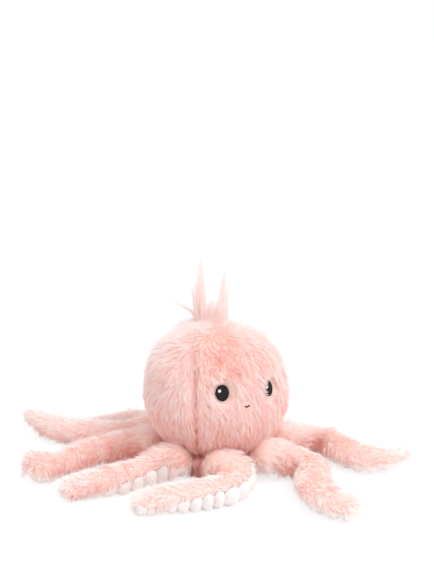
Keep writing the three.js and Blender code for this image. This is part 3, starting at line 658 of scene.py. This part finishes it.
def nearest(points, centres):
    tree = search_tree(centres)
    return np.array([tree.find(p)[1] for p in points])


def turned(direction, normal, angle):
    """direction, in the plane across normal, turned about normal."""
    side = np.cross(normal, direction)
    return direction * np.cos(angle)[:, None] + side * np.sin(angle)[:, None]


def comb(roots, normals, lay, length, rise, tip_rise, seed, lock_size=8.0, clump_size=3.2, gather=0.6,
         stray=0.5, calm=1.0):
    """Centre lines and tones of strands that lie in locks, and in them in clumps. lay is the way that
    they are combed, rise and tip_rise how steeply they leave the cloth and end, in degrees."""
    rng = np.random.default_rng(seed)
    count = len(roots)
    lock_centres = rng.choice(count, max(2, int(count / 60 / (lock_size / 8) ** 2)), replace=False)
    clump_centres = rng.choice(count, max(3, int(count / 9 / (clump_size / 3.2) ** 2)), replace=False)
    lock_of = nearest(roots, roots[lock_centres])
    clump_of = nearest(roots, roots[clump_centres])
    clump_lock = lock_of[clump_centres]
    lock_turn = rng.normal(0, 0.42 * calm, len(lock_centres))
    lock_long = rng.normal(1, 0.1, len(lock_centres))
    clump_turn = rng.normal(0, 0.28 * calm, len(clump_centres)) + lock_turn[clump_lock]
    clump_long = rng.normal(1, 0.1, len(clump_centres)) * lock_long[clump_lock]
    clump_lift = rng.normal(0, 7 * calm, len(clump_centres))

    def line(at, out, way, turn, long, up, up_tip):
        way = turned(way, out, turn)
        points = [at - out * 0.5]
        for k in range(BENDS):
            tilt = np.radians(mix(up, up_tip, (k + 0.5) / BENDS))
            move = out * np.sin(tilt)[:, None] + way * np.cos(tilt)[:, None]
            points.append(points[-1] + move * (long / BENDS)[:, None])
        return np.stack(points, 1)

    c = clump_centres
    guides = line(roots[c], normals[c], lay[c], clump_turn, length[c] * clump_long * 1.05,
                  rise[c] + clump_lift, tip_rise[c] + clump_lift)
    turn = clump_turn[clump_of] + rng.normal(0, 0.16 * stray, count)
    long = length * clump_long[clump_of] * rng.uniform(0.78, 1.08, count)
    lift = clump_lift[clump_of] + rng.normal(0, 9 * stray, count)
    lines = line(roots, normals, lay, turn, long, rise + lift, tip_rise + lift)
    pull = gather * rng.uniform(0.5, 1.1, count)
    for k in range(1, BENDS + 1):
        share = (k / BENDS) ** 1.3
        lines[:, k] = mix(lines[:, k], guides[clump_of, k], (pull * share)[:, None])
    tones = np.clip(0.5 + rng.normal(0, 0.13, count) + rng.normal(0, 0.13, len(clump_centres))[clump_of]
                    + rng.normal(0, 0.1, len(lock_centres))[lock_of], 0, 1)
    return lines, tones


def rest_on_floor(lines, gap=0.55):
    lines[:, :, 2] = np.maximum(lines[:, :, 2], gap)


# --- head

def head_directions(azimuth, polar):
    """Outward, downward and sideways directions at angles round the head and down from its crown."""
    level, sine, cosine = ahead(azimuth), np.sin(polar)[..., None], np.cos(polar)[..., None]
    return level * sine + UP * cosine, level * cosine - UP * sine, np.cross(UP, level)


def seam_turn(polar):
    """How far back the two front seams swing over the upper head, where they run straight up."""
    height = np.maximum(np.sin(np.minimum(polar, math.pi / 2)), SEAM_SIDE / math.sin(math.radians(54)))
    return np.arcsin(SEAM_SIDE / height) - math.asin(SEAM_SIDE)


def panel_sides(middle, polar):
    """The angles round the head of a panel's two seams."""
    turn = seam_turn(polar)
    return [math.radians(side) + turn * {-45: -1, 45: 1}.get(side, 0)
            for side in (middle - 45, middle + 45)]


def seam_distance(azimuth, polar):
    """Distance to the nearest of the head's four upright seams, with its sign to the side."""
    front, back = math.pi / 4 + seam_turn(polar), math.pi * 0.75
    offs = np.stack([azimuth - front, azimuth + front, azimuth - back, azimuth + back])
    offs = (offs + math.pi) % (2 * math.pi) - math.pi
    off = np.take_along_axis(offs, np.abs(offs).argmin(0)[None], 0)[0]
    return off * np.sin(polar) * HEAD_SKIN_RADIUS


def below_crown(polar):
    """0 on the crown, where the seams run together under the hair, and 1 further down."""
    return smooth((np.degrees(polar) - 20) / 14)


# a place on the face with little or no pile: its directions, its half sizes, how far its middle is
# raised, the radius of the cloth in it, and whether it is the far eye, which pile half hides
Patch = namedtuple("Patch", "out up side half_width half_height raised seat far_eye")


def patch_directions(angle, rise):
    out, down, side = head_directions(math.radians(angle), math.pi / 2 - math.radians(rise))
    return out, -down, side


EYES = {
    "right": patch_directions(-EYE_ANGLE, EYE_RISE_ANGLE + FACE_ROLL_ANGLE / 2),
    "left": patch_directions(EYE_ANGLE, EYE_RISE_ANGLE - FACE_ROLL_ANGLE / 2),
}
MOUTH = patch_directions(MOUTH_ANGLE, MOUTH_RISE_ANGLE)
BARE_PATCHES = [Patch(*eye, EYE_HALF_WIDTH, EYE_HALF_HEIGHT, 0.0, EYE_SEAT - 0.7, name == "left")
                for name, eye in EYES.items()]
BARE_PATCHES.append(Patch(*MOUTH, 3.0, 1.5, 1.4, HEAD_SKIN_RADIUS, False))


def patch_position(out, patch):
    """How far across and up from the middle of a bare patch directions from the head's centre lie."""
    x = out @ patch.side * HEAD_SKIN_RADIUS
    y = out @ patch.up * HEAD_SKIN_RADIUS - patch.raised
    near = out @ patch.out > 0.7
    return np.where(near, x, 99.0), np.where(near, y, 99.0)


def patch_distance(patch, x, y, margin):
    """Distance from the middle of a bare patch, with 1 at a margin outside of its edge."""
    return np.hypot(x / (patch.half_width + margin), y / (patch.half_height + margin))


def head_surface(azimuth, polar):
    out, down, side = head_directions(azimuth, polar)
    radius = HEAD_SKIN_RADIUS + 0.7 * ripple(out * HEAD_SKIN_RADIUS, 30, 3)
    radius -= SEAM_DIP * (bell(seam_distance(azimuth, polar) / SEAM_WIDTH) * below_crown(polar))
    for patch in BARE_PATCHES:
        far = patch_distance(patch, *patch_position(out, patch), 1.5)
        radius = np.where(far < 1.6, mix(patch.seat, radius, smooth((far - 1) / 0.6)), radius)
    return out * radius[:, None] + (0, 0, HEAD_CENTRE), out, down, side


def head_skin(name, middle, node):
    gap = SEAM_GAP / HEAD_SKIN_RADIUS

    def place(u, v):
        polar = np.maximum(v * NECK_ANGLE, 0.002)
        low, high = panel_sides(middle, polar)
        return head_surface(mix(low + gap, high - gap, u), polar)[0]

    skin = thicken(name, make_sheet(40, 64, place, 0.04), HEAD_SKIN_WALL, "pink_backing", to_head)
    settle(skin, node)


def part_round(patch, out, down, side, lay, length, rise, tip_rise):
    """Combs pile away from a bare patch and shortens it beside it. Also gives which strands stay, and
    which belong to those that stand up between the nose and the far eye and hide a part of that eye."""
    x, y = patch_position(out, patch)
    far = patch_distance(patch, x, y, 0.4)
    gap = np.hypot(x, y) * (1 - 1 / np.maximum(far, 1))
    close = smooth(1 - gap / 7)
    above = (smooth(1 - gap / 12) * smooth(y / patch.half_height)
             * smooth(1.8 - np.abs(x) / patch.half_width))
    away = unit(patch.side * (x / patch.half_width)[:, None] + patch.up * (y / patch.half_height)[:, None])
    between = smooth(1.9 - gap / 4) * smooth((-x / patch.half_width - 0.1) / 0.5) * patch.far_eye
    lay = mix(lay, away * 1.4 + down * 0.25, (close * 0.95)[:, None])
    lay = lay + side * (0.9 * np.sign(x) * above)[:, None]
    rise = mix(mix(rise, 56, close), 84, between)
    tip_rise = mix(mix(tip_rise, 22, close), 106, between)
    length = mix(length * (1 - 0.45 * np.maximum(close, above)), 7.3, between)
    # a strand that points at the patch ends before it
    toward = np.clip(-np.sum(unit(lay) * away, 1), 0, 1)
    length = np.where(gap < 14, np.minimum(length, mix(14, gap + 1.2, toward)), length)
    return lay, length, rise, tip_rise, far > 1, between


def head_pile(name, middle, seed):
    rng = np.random.default_rng(seed)
    levels = np.linspace(0, NECK_ANGLE, 400)
    low, high = panel_sides(middle, levels)
    below = np.cumsum(np.sin(levels) * (high - low)) * (levels[1] - levels[0])
    count = int(below[-1] * HEAD_SKIN_RADIUS ** 2 * HEAD_PILE_DENSITY)
    along, across = scatter(rng, count, 0.002, 0.15)
    polar = np.interp(along, below / below[-1], levels)
    azimuth = mix(*panel_sides(middle, polar), across)
    roots, out, down, side = head_surface(azimuth, polar)
    round_degrees, down_degrees = np.degrees(azimuth), np.degrees(polar)
    seam = seam_distance(azimuth, polar)
    shown = below_crown(polar)
    near_seam = bell(seam / 3.0) * shown
    # the brow is a tousled place over the toy's right eye
    brow = np.exp(-(((round_degrees + 14) / 22) ** 2 + ((down_degrees - 48) / 14) ** 2))
    brow = np.where(np.abs(round_degrees) < 60, brow, 0)
    sideways = (0.25 * ripple(roots, 60, 11) + 0.12 * ripple(roots, 25, 12)
                + 0.9 * brow * ripple(roots, 9, 18))
    sideways += (0.3 * ripple(roots, 10, 13) - 0.26 * np.sign(seam)) * bell(seam / 5) * shown
    # beside the front seams the pile is combed along them
    slope = (seam_turn(polar + 0.01) - seam_turn(polar - 0.01)) / 0.02 * np.sin(polar)
    sideways += np.sign(azimuth) * slope * bell(seam / 18) * (np.abs(azimuth) < 2)
    lay = down * (1 - 0.5 * brow * (0.6 + ripple(roots, 8, 19)))[:, None] + side * sideways[:, None]
    # the pile is longer and stands more on the upper head, and again where it meets the arms
    low = smooth((34 - roots[:, 2]) / 12)
    high = smooth((80 - down_degrees) / 34) * smooth(down_degrees / 9) * (1 - 0.6 * near_seam)
    length = HEAD_PILE_LENGTH * (1 - 0.15 * near_seam - 0.25 * brow + 0.15 * low + 0.12 * high)
    length = length * (1 + 0.06 * ripple(roots, 22, 14))
    rise = 34 + 12 * brow + 14 * high + 4 * ripple(roots, 26, 15) + 18 * low
    tip_rise = 5 + 8 * brow + 28 * high + 4 * ripple(roots, 18, 16) + 28 * low
    keep = np.ones(count, bool)
    stand = np.zeros(count)
    for patch in BARE_PATCHES:
        lay, length, rise, tip_rise, outside, between = part_round(
            patch, out, down, side, lay, length, rise, tip_rise)
        keep &= outside
        stand = np.maximum(stand, between)
    lay = unit(within(lay, out))
    roots, out, lay, length, rise, tip_rise = (a[keep] for a in (roots, out, lay, length, rise, tip_rise))
    lines, tones = comb(roots, out, lay, length, rise, tip_rise, seed + 1, calm=0.4, clump_size=2.6,
                        gather=0.42)
    tones = 0.5 + (tones - 0.5) * (0.65 + 0.9 * brow[keep])
    # painted light makes the pile paler where it faces up and on the crown, and painted shade deepens it in
    # the creases of the seams; the brow is also made deeper
    tones = np.clip(tones + 0.45 * (out[:, 2] - 0.3) - 0.3 * near_seam[keep] - 0.2 * brow[keep]
                    + 0.3 * bell(down_degrees[keep] / 24), 0, 1)
    thick = np.random.default_rng(seed + 2).uniform(0.12, 0.21, len(roots)) * (1 + 1.2 * stand[keep])
    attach(grow(name, lines, thick, out, tones, "pink_pile"), "head")


def head_filling():
    """Loose filling in the head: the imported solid, drawn in a little and made lumpy."""
    shrink, lump = 1.0, 1.2
    core = bmesh.new()
    core.from_mesh(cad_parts["head_stuffing"].data)
    bmesh.ops.remove_doubles(core, verts=core.verts, dist=0.01 * MM)
    bmesh.ops.subdivide_edges(core, edges=core.edges, cuts=2, use_grid_fill=True)
    for _ in range(3):
        bmesh.ops.smooth_vert(core, verts=core.verts, factor=0.5, use_axis_x=True, use_axis_y=True,
                              use_axis_z=True)
    core.normal_update()
    points = np.array([v.co[:] for v in core.verts]) / MM
    swell = lump * ripple(points, 14, 21) + lump * 0.5 * ripple(points, 6, 22)
    for vert, rise in zip(core.verts, swell):
        vert.co += vert.normal * (min(rise, lump) - lump - shrink) * MM
    settle(finish_shape("head_filling", core, "white_filling"), "head_stuffing")


# --- base

def base_skin():
    bowl = bmesh.new()
    line = [bowl.verts.new((r * MM, 0, z * MM)) for r, z in BASE_PROFILE]
    edges = [bowl.edges.new(pair) for pair in zip(line, line[1:])]
    bmesh.ops.spin(bowl, geom=line + edges, cent=(0, 0, 0), axis=(0, 0, 1), angle=2 * math.pi,
                   steps=64, use_merge=True)
    bmesh.ops.remove_doubles(bowl, verts=bowl.verts, dist=0.02 * MM)
    centre = Vector((0, 0, 40 * MM))
    settle(thicken("base_skin", bowl, BASE_WALL, "pink_backing", lambda p: centre - p), "base_panel")


def base_pile():
    """Pile below the head, longest in the eight valleys between the arms' roots."""
    rng = np.random.default_rng(61)
    count = BASE_STRANDS
    share = rng.uniform(0, 1, count) ** 0.7
    r, z = np.array(BASE_PROFILE).T
    steps = np.append(0, np.cumsum(np.hypot(np.diff(r), np.diff(z))))
    at = mix(steps[2], steps[-1], share)
    radius, height = np.interp(at, steps, r), np.interp(at, steps, z)
    slope_r, slope_z = np.interp(at + 1, steps, r) - radius, np.interp(at + 1, steps, z) - height
    off = rng.normal(0, 9, count)
    ring = ahead(np.radians(45 * rng.integers(0, 8, count) + off))
    roots = ring * radius[:, None] + UP * height[:, None]
    normals = unit(ring * (slope_z + 1e-3)[:, None] - UP * slope_r[:, None])
    down = -(ring * slope_r[:, None] + UP * slope_z[:, None])
    lay = unit(down + 0.4 * np.cross(ring, UP) * ripple(roots, 20, 62)[:, None])
    long = 14 + 11 * bell(off / 9)
    lines, tones = comb(roots, normals, lay, long, np.full(count, 78.0), np.full(count, 48.0), 63,
                        gather=0.25)
    rest_on_floor(lines)
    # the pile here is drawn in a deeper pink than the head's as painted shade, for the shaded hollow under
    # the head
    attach(grow("base_pile", lines, rng.uniform(0.17, 0.3, count), normals, tones, "painted_shade_pile"), "head")


# --- face

def on_face(directions, level, x, y):
    """A place at a distance from the head's centre, across and up from the middle of a bare patch."""
    out, up, side = (Vector(v) for v in directions)
    return (Vector((0, 0, HEAD_CENTRE)) + out * level + side * x + up * y) * MM


def stitched_oval(name, node, eye, half_width, half_height, seat, dome, offset, pitch, material):
    """Satin stitches side by side over an oval, each a ridge across it."""
    stitches = max(4, round(2 * half_height / pitch))
    patch = bmesh.new()
    bmesh.ops.create_grid(patch, x_segments=18, y_segments=stitches * 4, size=1.0)
    uneven = np.random.default_rng(5).uniform(0.96, 1.02, stitches + 1)
    for vert in patch.verts:
        u, v = vert.co.x, vert.co.y
        row = (v + 1) / 2 * stitches
        ridge = abs(math.sin(math.pi * row)) ** 0.6
        chord = math.sqrt(max(0, 1 - v * v)) * uneven[min(stitches, int(row))]
        inside = math.sqrt(max(0.0, 1 - (u * u * (1 - v * v) + v * v)))
        level = 0.08 + dome * inside + 0.09 * ridge * (1 - u * u) ** 0.3
        level = level * min(1, inside * 3) ** 0.5 + 0.05
        x, y = u * chord * half_width + offset[0], v * half_height + offset[1]
        vert.co = on_face(eye, seat + level, x, y)
    bmesh.ops.remove_doubles(patch, verts=patch.verts, dist=0.01 * MM)
    settle(thicken(name, patch, 0.35, material, to_head), node)


def mouth_stitches():
    """A small smile in back stitch: short thick stitches end to end on an arc."""
    radius = MOUTH_RADIUS - MOUTH_INSET
    smile = bmesh.new()
    bmesh.ops.create_circle(smile, cap_ends=True, segments=8, radius=MOUTH_THREAD_RADIUS)
    for vert in smile.verts:
        vert.co = Vector((radius + vert.co.x, 0, vert.co.y * 0.9))
    turn = Matrix.Rotation(math.radians(MOUTH_START), 3, "Z")
    bmesh.ops.rotate(smile, verts=smile.verts, cent=(0, 0, 0), matrix=turn)
    everything = smile.verts[:] + smile.edges[:] + smile.faces[:]
    bmesh.ops.spin(smile, geom=everything, cent=(0, 0, 0), axis=(0, 0, 1),
                   angle=math.radians(MOUTH_SWEEP), steps=40, use_duplicate=False)
    bmesh.ops.remove_doubles(smile, verts=smile.verts, dist=0.001)
    for vert in smile.verts:
        angle = (math.degrees(math.atan2(vert.co.y, vert.co.x)) - MOUTH_START) % 360
        swell = 0.72 + 0.28 * abs(math.sin(math.pi * angle / MOUTH_SWEEP * MOUTH_STITCHES)) ** 0.5
        flat = Vector((vert.co.x, vert.co.y, 0))
        middle = flat.normalized() * radius
        local = middle + (flat - middle) * swell + Vector((0, 0, vert.co.z * swell + MOUTH_INSET))
        vert.co = on_face(MOUTH, HEAD_SKIN_RADIUS + 0.2 + local.z, local.x, local.y + MOUTH_RADIUS)
    settle(finish_shape("mouth_stitching", smile, "brown_thread"), "mouth_stitch")


# --- crown hair

# Locks of the crown: foot and tip across the tuft and in front of it, height of the tip over the
# floor, strands, spread at the foot and at the tip, share of the shortest strand, bend of the rise
LOCKS = (
    ((-14.5, 0), (-15.6, 0), 235, 190, 8.0, 0.8, 0.34, 0.95),
    ((-18.5, 1), (-27.0, 2), 202, 46, 3.6, 1.3, 0.5, 0.95),
    ((-18.0, 2), (-22.5, 3), 203, 60, 4.6, 2.4, 0.4, 0.95),
    ((5.0, -2), (10.2, -2), 218, 150, 6.8, 0.8, 0.34, 0.95),
    ((9.5, 2), (13.2, 3), 203, 60, 4.0, 0.8, 0.5, 0.95),
    ((-19, 5), (-52, 8), 173.5, 46, 2.0, 1.8, 0.75, 0.5),
    ((-13, 3), (-14, 4), 186, 90, 8.5, 5.0, 0.4, 0.95),
    ((-3, 2), (-3, 3), 178, 170, 10.0, 7.0, 0.4, 0.95),
    ((-5, -2), (-6, -6), 162, 190, 18.0, 20.0, 0.3, 0.95),
)
HAIR_TAPER = (1, 1, 1, 0.85, 0.6)
HAIR_POINTS = 6
FALLEN_STRANDS = 100


def crown_hair():
    rng = np.random.default_rng(41)
    back = -ahead(np.radians(VIEW_TURN))
    across = np.cross(back, UP)
    shares = [k / (HAIR_POINTS - 1) for k in range(HAIR_POINTS)]
    lines = []
    for foot, tip, top, count, foot_spread, tip_spread, shortest, bend in LOCKS:
        foot, tip = np.array(foot), np.array(tip)
        angle, reach = rng.uniform(0, 2 * math.pi, count), np.sqrt(rng.uniform(0, 1, count))
        spots = foot + np.stack([np.cos(angle), np.sin(angle)], 1) * (reach * foot_spread)[:, None]
        high = HEAD_CENTRE + np.sqrt((HEAD_SKIN_RADIUS + 1) ** 2 - np.sum(spots ** 2, 1))
        reached = mix(shortest, 1, rng.beta(1.5, 1.1, count))
        tips = mix(foot, tip, reached[:, None]) + rng.normal(0, tip_spread * 0.5, (2, count)).T
        tips += (spots - foot) * (0.8 * (1 - reached) ** 0.8)[:, None]
        wave = rng.normal(0, 0.9, (count, 2))
        points = []
        for t in shares:
            flat = mix(spots, tips, t ** 1.2) + wave * math.sin(math.pi * t)
            level = mix(high - 1.5, mix(high, top, reached), t ** bend)
            points.append(flat @ (across, back) + level[:, None] * UP)
        lines.append(np.stack(points, 1))
    # long strands that fell from the crown and lie down the left of the head
    start, way = rng.uniform(0.04, 0.16, FALLEN_STRANDS), rng.normal(-2.75, 0.32, FALLEN_STRANDS)
    reach = rng.uniform(0.35, 0.95, FALLEN_STRANDS)
    fallen = []
    for k, t in enumerate(shares):
        polar, turn = start + reach * k / 5, way + 0.12 * k * rng.normal(0, 0.25, FALLEN_STRANDS)
        level = HEAD_SKIN_RADIUS + 1 + 3.6 * math.sin(math.pi * min(1, 0.15 + 0.85 * t) ** 0.8) ** 0.5
        flat = np.cos(turn)[:, None] * across + np.sin(turn)[:, None] * back
        out = flat * np.sin(polar)[:, None] + UP * np.cos(polar)[:, None]
        fallen.append(out * level + (0, 0, HEAD_CENTRE))
    lines.append(np.stack(fallen, 1))
    lines = np.concatenate(lines)
    count = len(lines)
    facing = unit(lines[:, 0] - (0, 0, HEAD_CENTRE))
    normals = unit(facing * 0.3 + unit(rng.normal(size=(count, 3))))
    thick = rng.uniform(0.1, 0.16, count)
    tones = rng.uniform(0.45, 0.9, count)
    settle(grow("crown_hair", lines, thick, normals, tones, "pale_hair", HAIR_TAPER), "crown_tuft")


# --- arms

def puffed(arm, at, angle):
    """How far the underside is drawn in: swelling out on the round puffs and deep in the tucks between."""
    front, back = under_edges(arm, at)
    beside = np.clip((angle - front) / (back - front), 0, 1)
    end = 1 - np.clip(np.minimum(beside, 1 - beside) / 0.2, 0, 1)
    round_off = 0.45 + 0.55 * np.sqrt(1 - end ** 2)
    fold = 1 - 0.4 * bell((beside - 0.5) / 0.05)
    swell = mix(-0.6, PUFF_SWELL, bare_share(arm, at))
    return PUFF_TUCK - (PUFF_TUCK + swell) * puff_wave(arm, at) * round_off * fold


def cover_depth(arm, at, angle, spot):
    return ARM_SKIN_INSET - np.minimum(0.6 * ripple(spot, 22, 31 + arm["number"]), 0.4)


def puffs_depth(arm, at, angle, spot):
    return PUFFS_INSET + puffed(arm, at, angle)


def arm_sheet(name, node, arm, start, end, edges, depth, columns, rows_a_length, material):
    """Cloth round a piece of an arm between two edges, at a depth under the arm's plain surface."""
    def place(u, v):
        at = mix(start, end, v)
        angle = mix(*edges(arm, at), u)
        spot, normal, _ = arm_surface(arm, at, angle)
        spot = spot - normal * depth(arm, at, angle, spot)[:, None]
        spot[:, 2] = np.maximum(spot[:, 2], FLOOR_GAP)
        return spot

    sheet = make_sheet(columns, max(8, round((end - start) * rows_a_length)), place, 0.04)
    spine = search_tree(arm_section(arm, np.linspace(0, 1, 60))[0] * MM)
    skin = thicken(name, sheet, ARM_SKIN_WALL, material, lambda p: Vector(spine.find(p)[0]) - p)
    settle(skin, node, arm)


def arm_filling(name, node, arm, start, end):
    """Loose filling in an arm: a lumpy round form with a closed end at the elbow."""
    low, high = start + 4 * (start < 0), end - 4 * (end > arm["length"] / 2 + 10)

    def place(u, v):
        spot, normal, _ = arm_surface(arm, np.clip(mix(start, end, v), low, high), 360 * u)
        depth = PUFF_TUCK + 2.4 + 0.6 * ripple(spot, 13, 51) + 0.4 * ripple(spot, 6, 52)
        return spot - normal * depth[:, None]

    stuffing = make_sheet(24, 36, place, 0.05)
    bmesh.ops.holes_fill(stuffing, edges=[e for e in stuffing.edges if e.is_boundary], sides=0)
    settle(finish_shape(name, stuffing, "white_filling"), node, arm)


def arm_girth(arm):
    return math.pi * (ARM_WIDTH + ARM_HEIGHT) / 2 * arm["girth"]


def arm_pile(name, arm, start, end, seed):
    rng = np.random.default_rng(seed)
    share_round = (COVER_EDGES[1] - COVER_EDGES[0]) / 360
    count = int((end - start) * arm_girth(arm) * share_round * ARM_PILE_DENSITY)
    along, across = scatter(rng, count, 0.003, 0.2)
    at = mix(start, end, along)
    low, high = cover_edges(arm, at)
    angle = mix(low - 2, high + 2, across)
    spot, normal, forward = arm_surface(arm, at, angle)
    # fewer strands where a round end closes
    keep = rng.uniform(0, 1, count) < np.cos(arm_lean(arm, at)) + 0.12
    spot, normal, forward, angle, at, low, high = (
        a[keep] for a in (spot, normal, forward, angle, at, low, high))
    roots = spot - normal * ARM_SKIN_INSET
    roots[:, 2] = np.maximum(roots[:, 2], FLOOR_GAP + 0.3)
    inner = smooth(np.minimum(angle - low, high - angle) / 25)
    far_tip = smooth((at - arm["tip"] + 4) / 14)
    bare = bare_share(arm, at)
    fringe = (1 - inner) * (1 - 0.65 * bare)
    downhill = normal * normal[:, 2:] - UP
    fall = 0.15 + 0.35 * inner + 0.5 * far_tip + 1.6 * fringe
    lay = within(forward, normal) * 0.9 + downhill * fall[:, None]
    lay = turned(unit(lay), normal, 0.6 * ripple(roots, 45, seed + 5) + 0.3 * ripple(roots, 20, seed + 6))
    length = ARM_PILE_LENGTH * (1 + 0.1 * ripple(roots, 24, seed + 7))
    length = length * (1 - 0.36 * (1 - inner) * bare) * (1 - 0.1 * far_tip)
    length = length * (1 + 0.4 * fringe
                       + 0.45 * (1 - smooth(at / 34)) * (1 - smooth(np.sin(np.radians(angle)))))
    rise = (1 - 0.4 * fringe) * 40 + 7 * ripple(roots, 20, seed + 8) + 20 * far_tip
    tip_rise = 10 + 10 * ripple(roots, 16, seed + 9) + 42 * far_tip + 15 * (1 - inner) * bare
    lines, tones = comb(roots, normal, lay, length, rise, tip_rise, seed + 10, lock_size=9, clump_size=2.8,
                        gather=0.5, stray=0.8, calm=0.75)
    rest_on_floor(lines)
    # painted shade makes the pile deeper in the hollow of a bend and at the root, painted light makes it
    # paler where it faces up, and each arm's tone adds painted light, or painted shade where it is below 0;
    # the pile is also paler at the tip and on the fringe
    before, after = (arm_section(arm, (at + off) / arm["length"])[1] for off in (-3, 3))
    curve = (after - before) / 6
    bend = np.clip(-curve * np.cos(np.radians(angle)) / 0.035, 0, 1) ** 1.5
    tones = (0.5 + 0.7 * (tones - 0.5) + 0.55 * (normal[:, 2] - 0.3) + arm["tone"]
             - 0.1 * (1 - smooth(at / 40)) + 0.5 * fringe + 0.35 * far_tip - 0.5 * bend)
    thick = rng.uniform(0.12, 0.22, len(roots))
    elbow_blend(grow(name, lines, thick, normal, np.clip(tones, 0, 1), "pale_pile"), arm)


def arm_fuzz(name, arm, start, end, seed):
    """The short pile of the puffs."""
    rng = np.random.default_rng(seed)
    girth = arm_girth(arm) * (360 - COVER_EDGES[1] + COVER_EDGES[0]) / 360
    along, across = scatter(rng, int((end - start) * girth * FUZZ_DENSITY), 0.003, 0.2)
    at = mix(start, end, along)
    angle = mix(*under_edges(arm, at), across)
    spot, normal, forward = arm_surface(arm, at, angle)
    step = 0.4
    depth = puffed(arm, at, angle)
    slope = (puffed(arm, at + step, angle) - depth) / step
    roots = spot - normal * (PUFFS_INSET + depth)[:, None]
    out = unit(normal + forward * np.clip(slope, -1.2, 1.2)[:, None])
    keep = roots[:, 2] > 0.9
    roots, out = roots[keep], out[keep]
    count = len(roots)
    lay = unit(within(unit(rng.normal(size=(count, 3)) * 0.6 + (0, 0, -0.5)), out))
    ends = roots + (out * 0.85 + lay * 0.55) * (FUZZ_LENGTH * rng.uniform(0.7, 1.15, count))[:, None]
    lines = np.stack([roots - out * 0.3, ends], 1)
    rest_on_floor(lines, 0.45)
    thick = rng.uniform(0.22, 0.33, count)
    elbow_blend(grow(name, lines, thick, out, rng.uniform(0.2, 0.9, count), "white_pile", (1,)), arm)


def make_arm(number):
    arm = plan_arm(number)
    cover_rows = 0.95 if number in PITCHES else 0.45
    for part, start, end, seed in (("root", arm["first"] + 0.01, arm["split"], 100 * number),
                                   ("tip", arm["split"], arm["last"] - 0.01, 100 * number + 50)):
        name = f"arm_{number}_{part}"
        arm_sheet(f"{name}_skin", f"{name}_cover", arm, start, end, cover_edges, cover_depth, 20,
                  cover_rows, "pink_backing")
        arm_sheet(f"{name}_puffs", f"{name}_underside", arm, start, end, under_edges, puffs_depth, 26,
                  0.95, "white_minky")
        arm_filling(f"{name}_filling", f"{name}_stuffing", arm, start, end)
        arm_pile(f"{name}_pile", arm, start, end, seed)
        arm_fuzz(f"{name}_fuzz", arm, start, end, seed + 30)


# --- floor and light

def seen_by_camera(tree):
    """1 for rays that come from the camera, straight, off a mirror or through glass."""
    rays = tree.nodes.new("ShaderNodeLightPath").outputs
    mirrored = add_math(tree, "MAXIMUM", rays["Is Glossy Ray"], rays["Is Transmission Ray"])
    return add_math(tree, "MAXIMUM", rays["Is Camera Ray"], mirrored)


def make_floor():
    """A pale floor that shows as plain white away from the toy's shadow."""
    sheet = bmesh.new()
    bmesh.ops.create_grid(sheet, x_segments=1, y_segments=1, size=3.0)
    mesh = bpy.data.meshes.new("floor")
    sheet.to_mesh(mesh)
    sheet.free()
    material, tree, shader, _ = start_material("pale_floor", 0.9)
    seen = seen_by_camera(tree)
    feed(shader, {"Base Color": add_mix(tree, seen, (0.88, 0.88, 0.88, 1), (0.3, 0.3, 0.3, 1)),
                  "Emission Color": (1, 1, 1, 1),
                  "Emission Strength": add_math(tree, "MULTIPLY", seen, 0.76)})
    mesh.materials.append(material)
    floor = add_to_scene("floor", mesh)


def make_light():
    world = bpy.data.worlds.new("studio")
    bpy.context.scene.world = world
    world.use_nodes = True
    tree = world.node_tree
    tree.nodes.clear()
    either = feed(tree.nodes.new("ShaderNodeMixShader"), {0: seen_by_camera(tree)})
    # what lights the toy is a little dimmer than what the camera sees
    for socket, strength in ((1, 0.86), (2, 1.0)):
        sky = feed(tree.nodes.new("ShaderNodeBackground"), {"Color": (1, 1, 1, 1), "Strength": strength})
        feed(either, {socket: sky.outputs[0]})
    feed(tree.nodes.new("ShaderNodeOutputWorld"), {"Surface": either.outputs[0]})
    lamp = bpy.data.lights.new("key", "AREA")
    lamp.shape, lamp.size, lamp.energy = "DISK", 1.0, 14
    key = add_to_scene("key", lamp)
    key.location = (0.5, -1.1, 1.6)
    aim(key, Vector((0, 0, 0.05)) - key.location)
    # light scatters many times among strands before it leaves deep pile
    bpy.context.scene.cycles.diffuse_bounces = 12
    bpy.context.scene.view_settings.view_transform = "Standard"


make_camera()
pile_tint = pile_tint_group()
knit = knit_group()
twist = twist_group()
materials = {name: pile_material(name, *values) for name, values in PILES.items()}
materials.update({name: backing_material(name, *values) for name, values in BACKINGS.items()})
materials["white_filling"] = filling_material("white_filling", *FILLING)
materials.update({name: thread_material(name, *values) for name, values in THREADS.items()})

for name, middle in (("front", 0), ("left", 90), ("back", 180), ("right", -90)):
    head_skin(f"head_{name}_skin", middle, f"head_{name}_panel")
    head_pile(f"head_{name}_pile", middle, 1000 + middle)
head_filling()
base_skin()
base_pile()
for name, eye in EYES.items():
    stitched_oval(f"eye_{name}_stitching", f"eye_{name}", eye, EYE_HALF_WIDTH, EYE_HALF_HEIGHT, EYE_SEAT,
                  0.9, (0, 0), 0.55, "black_thread")
    stitched_oval(f"eye_{name}_highlight_stitching", f"eye_{name}_highlight", eye, HIGHLIGHT_RADIUS,
                  HIGHLIGHT_RADIUS, EYE_SEAT + HIGHLIGHT_LIFT, 0.4, HIGHLIGHT_OFFSET, 0.5, "white_thread")
mouth_stitches()
crown_hair()
for number in range(1, 9):
    make_arm(number)
make_floor()
make_light()
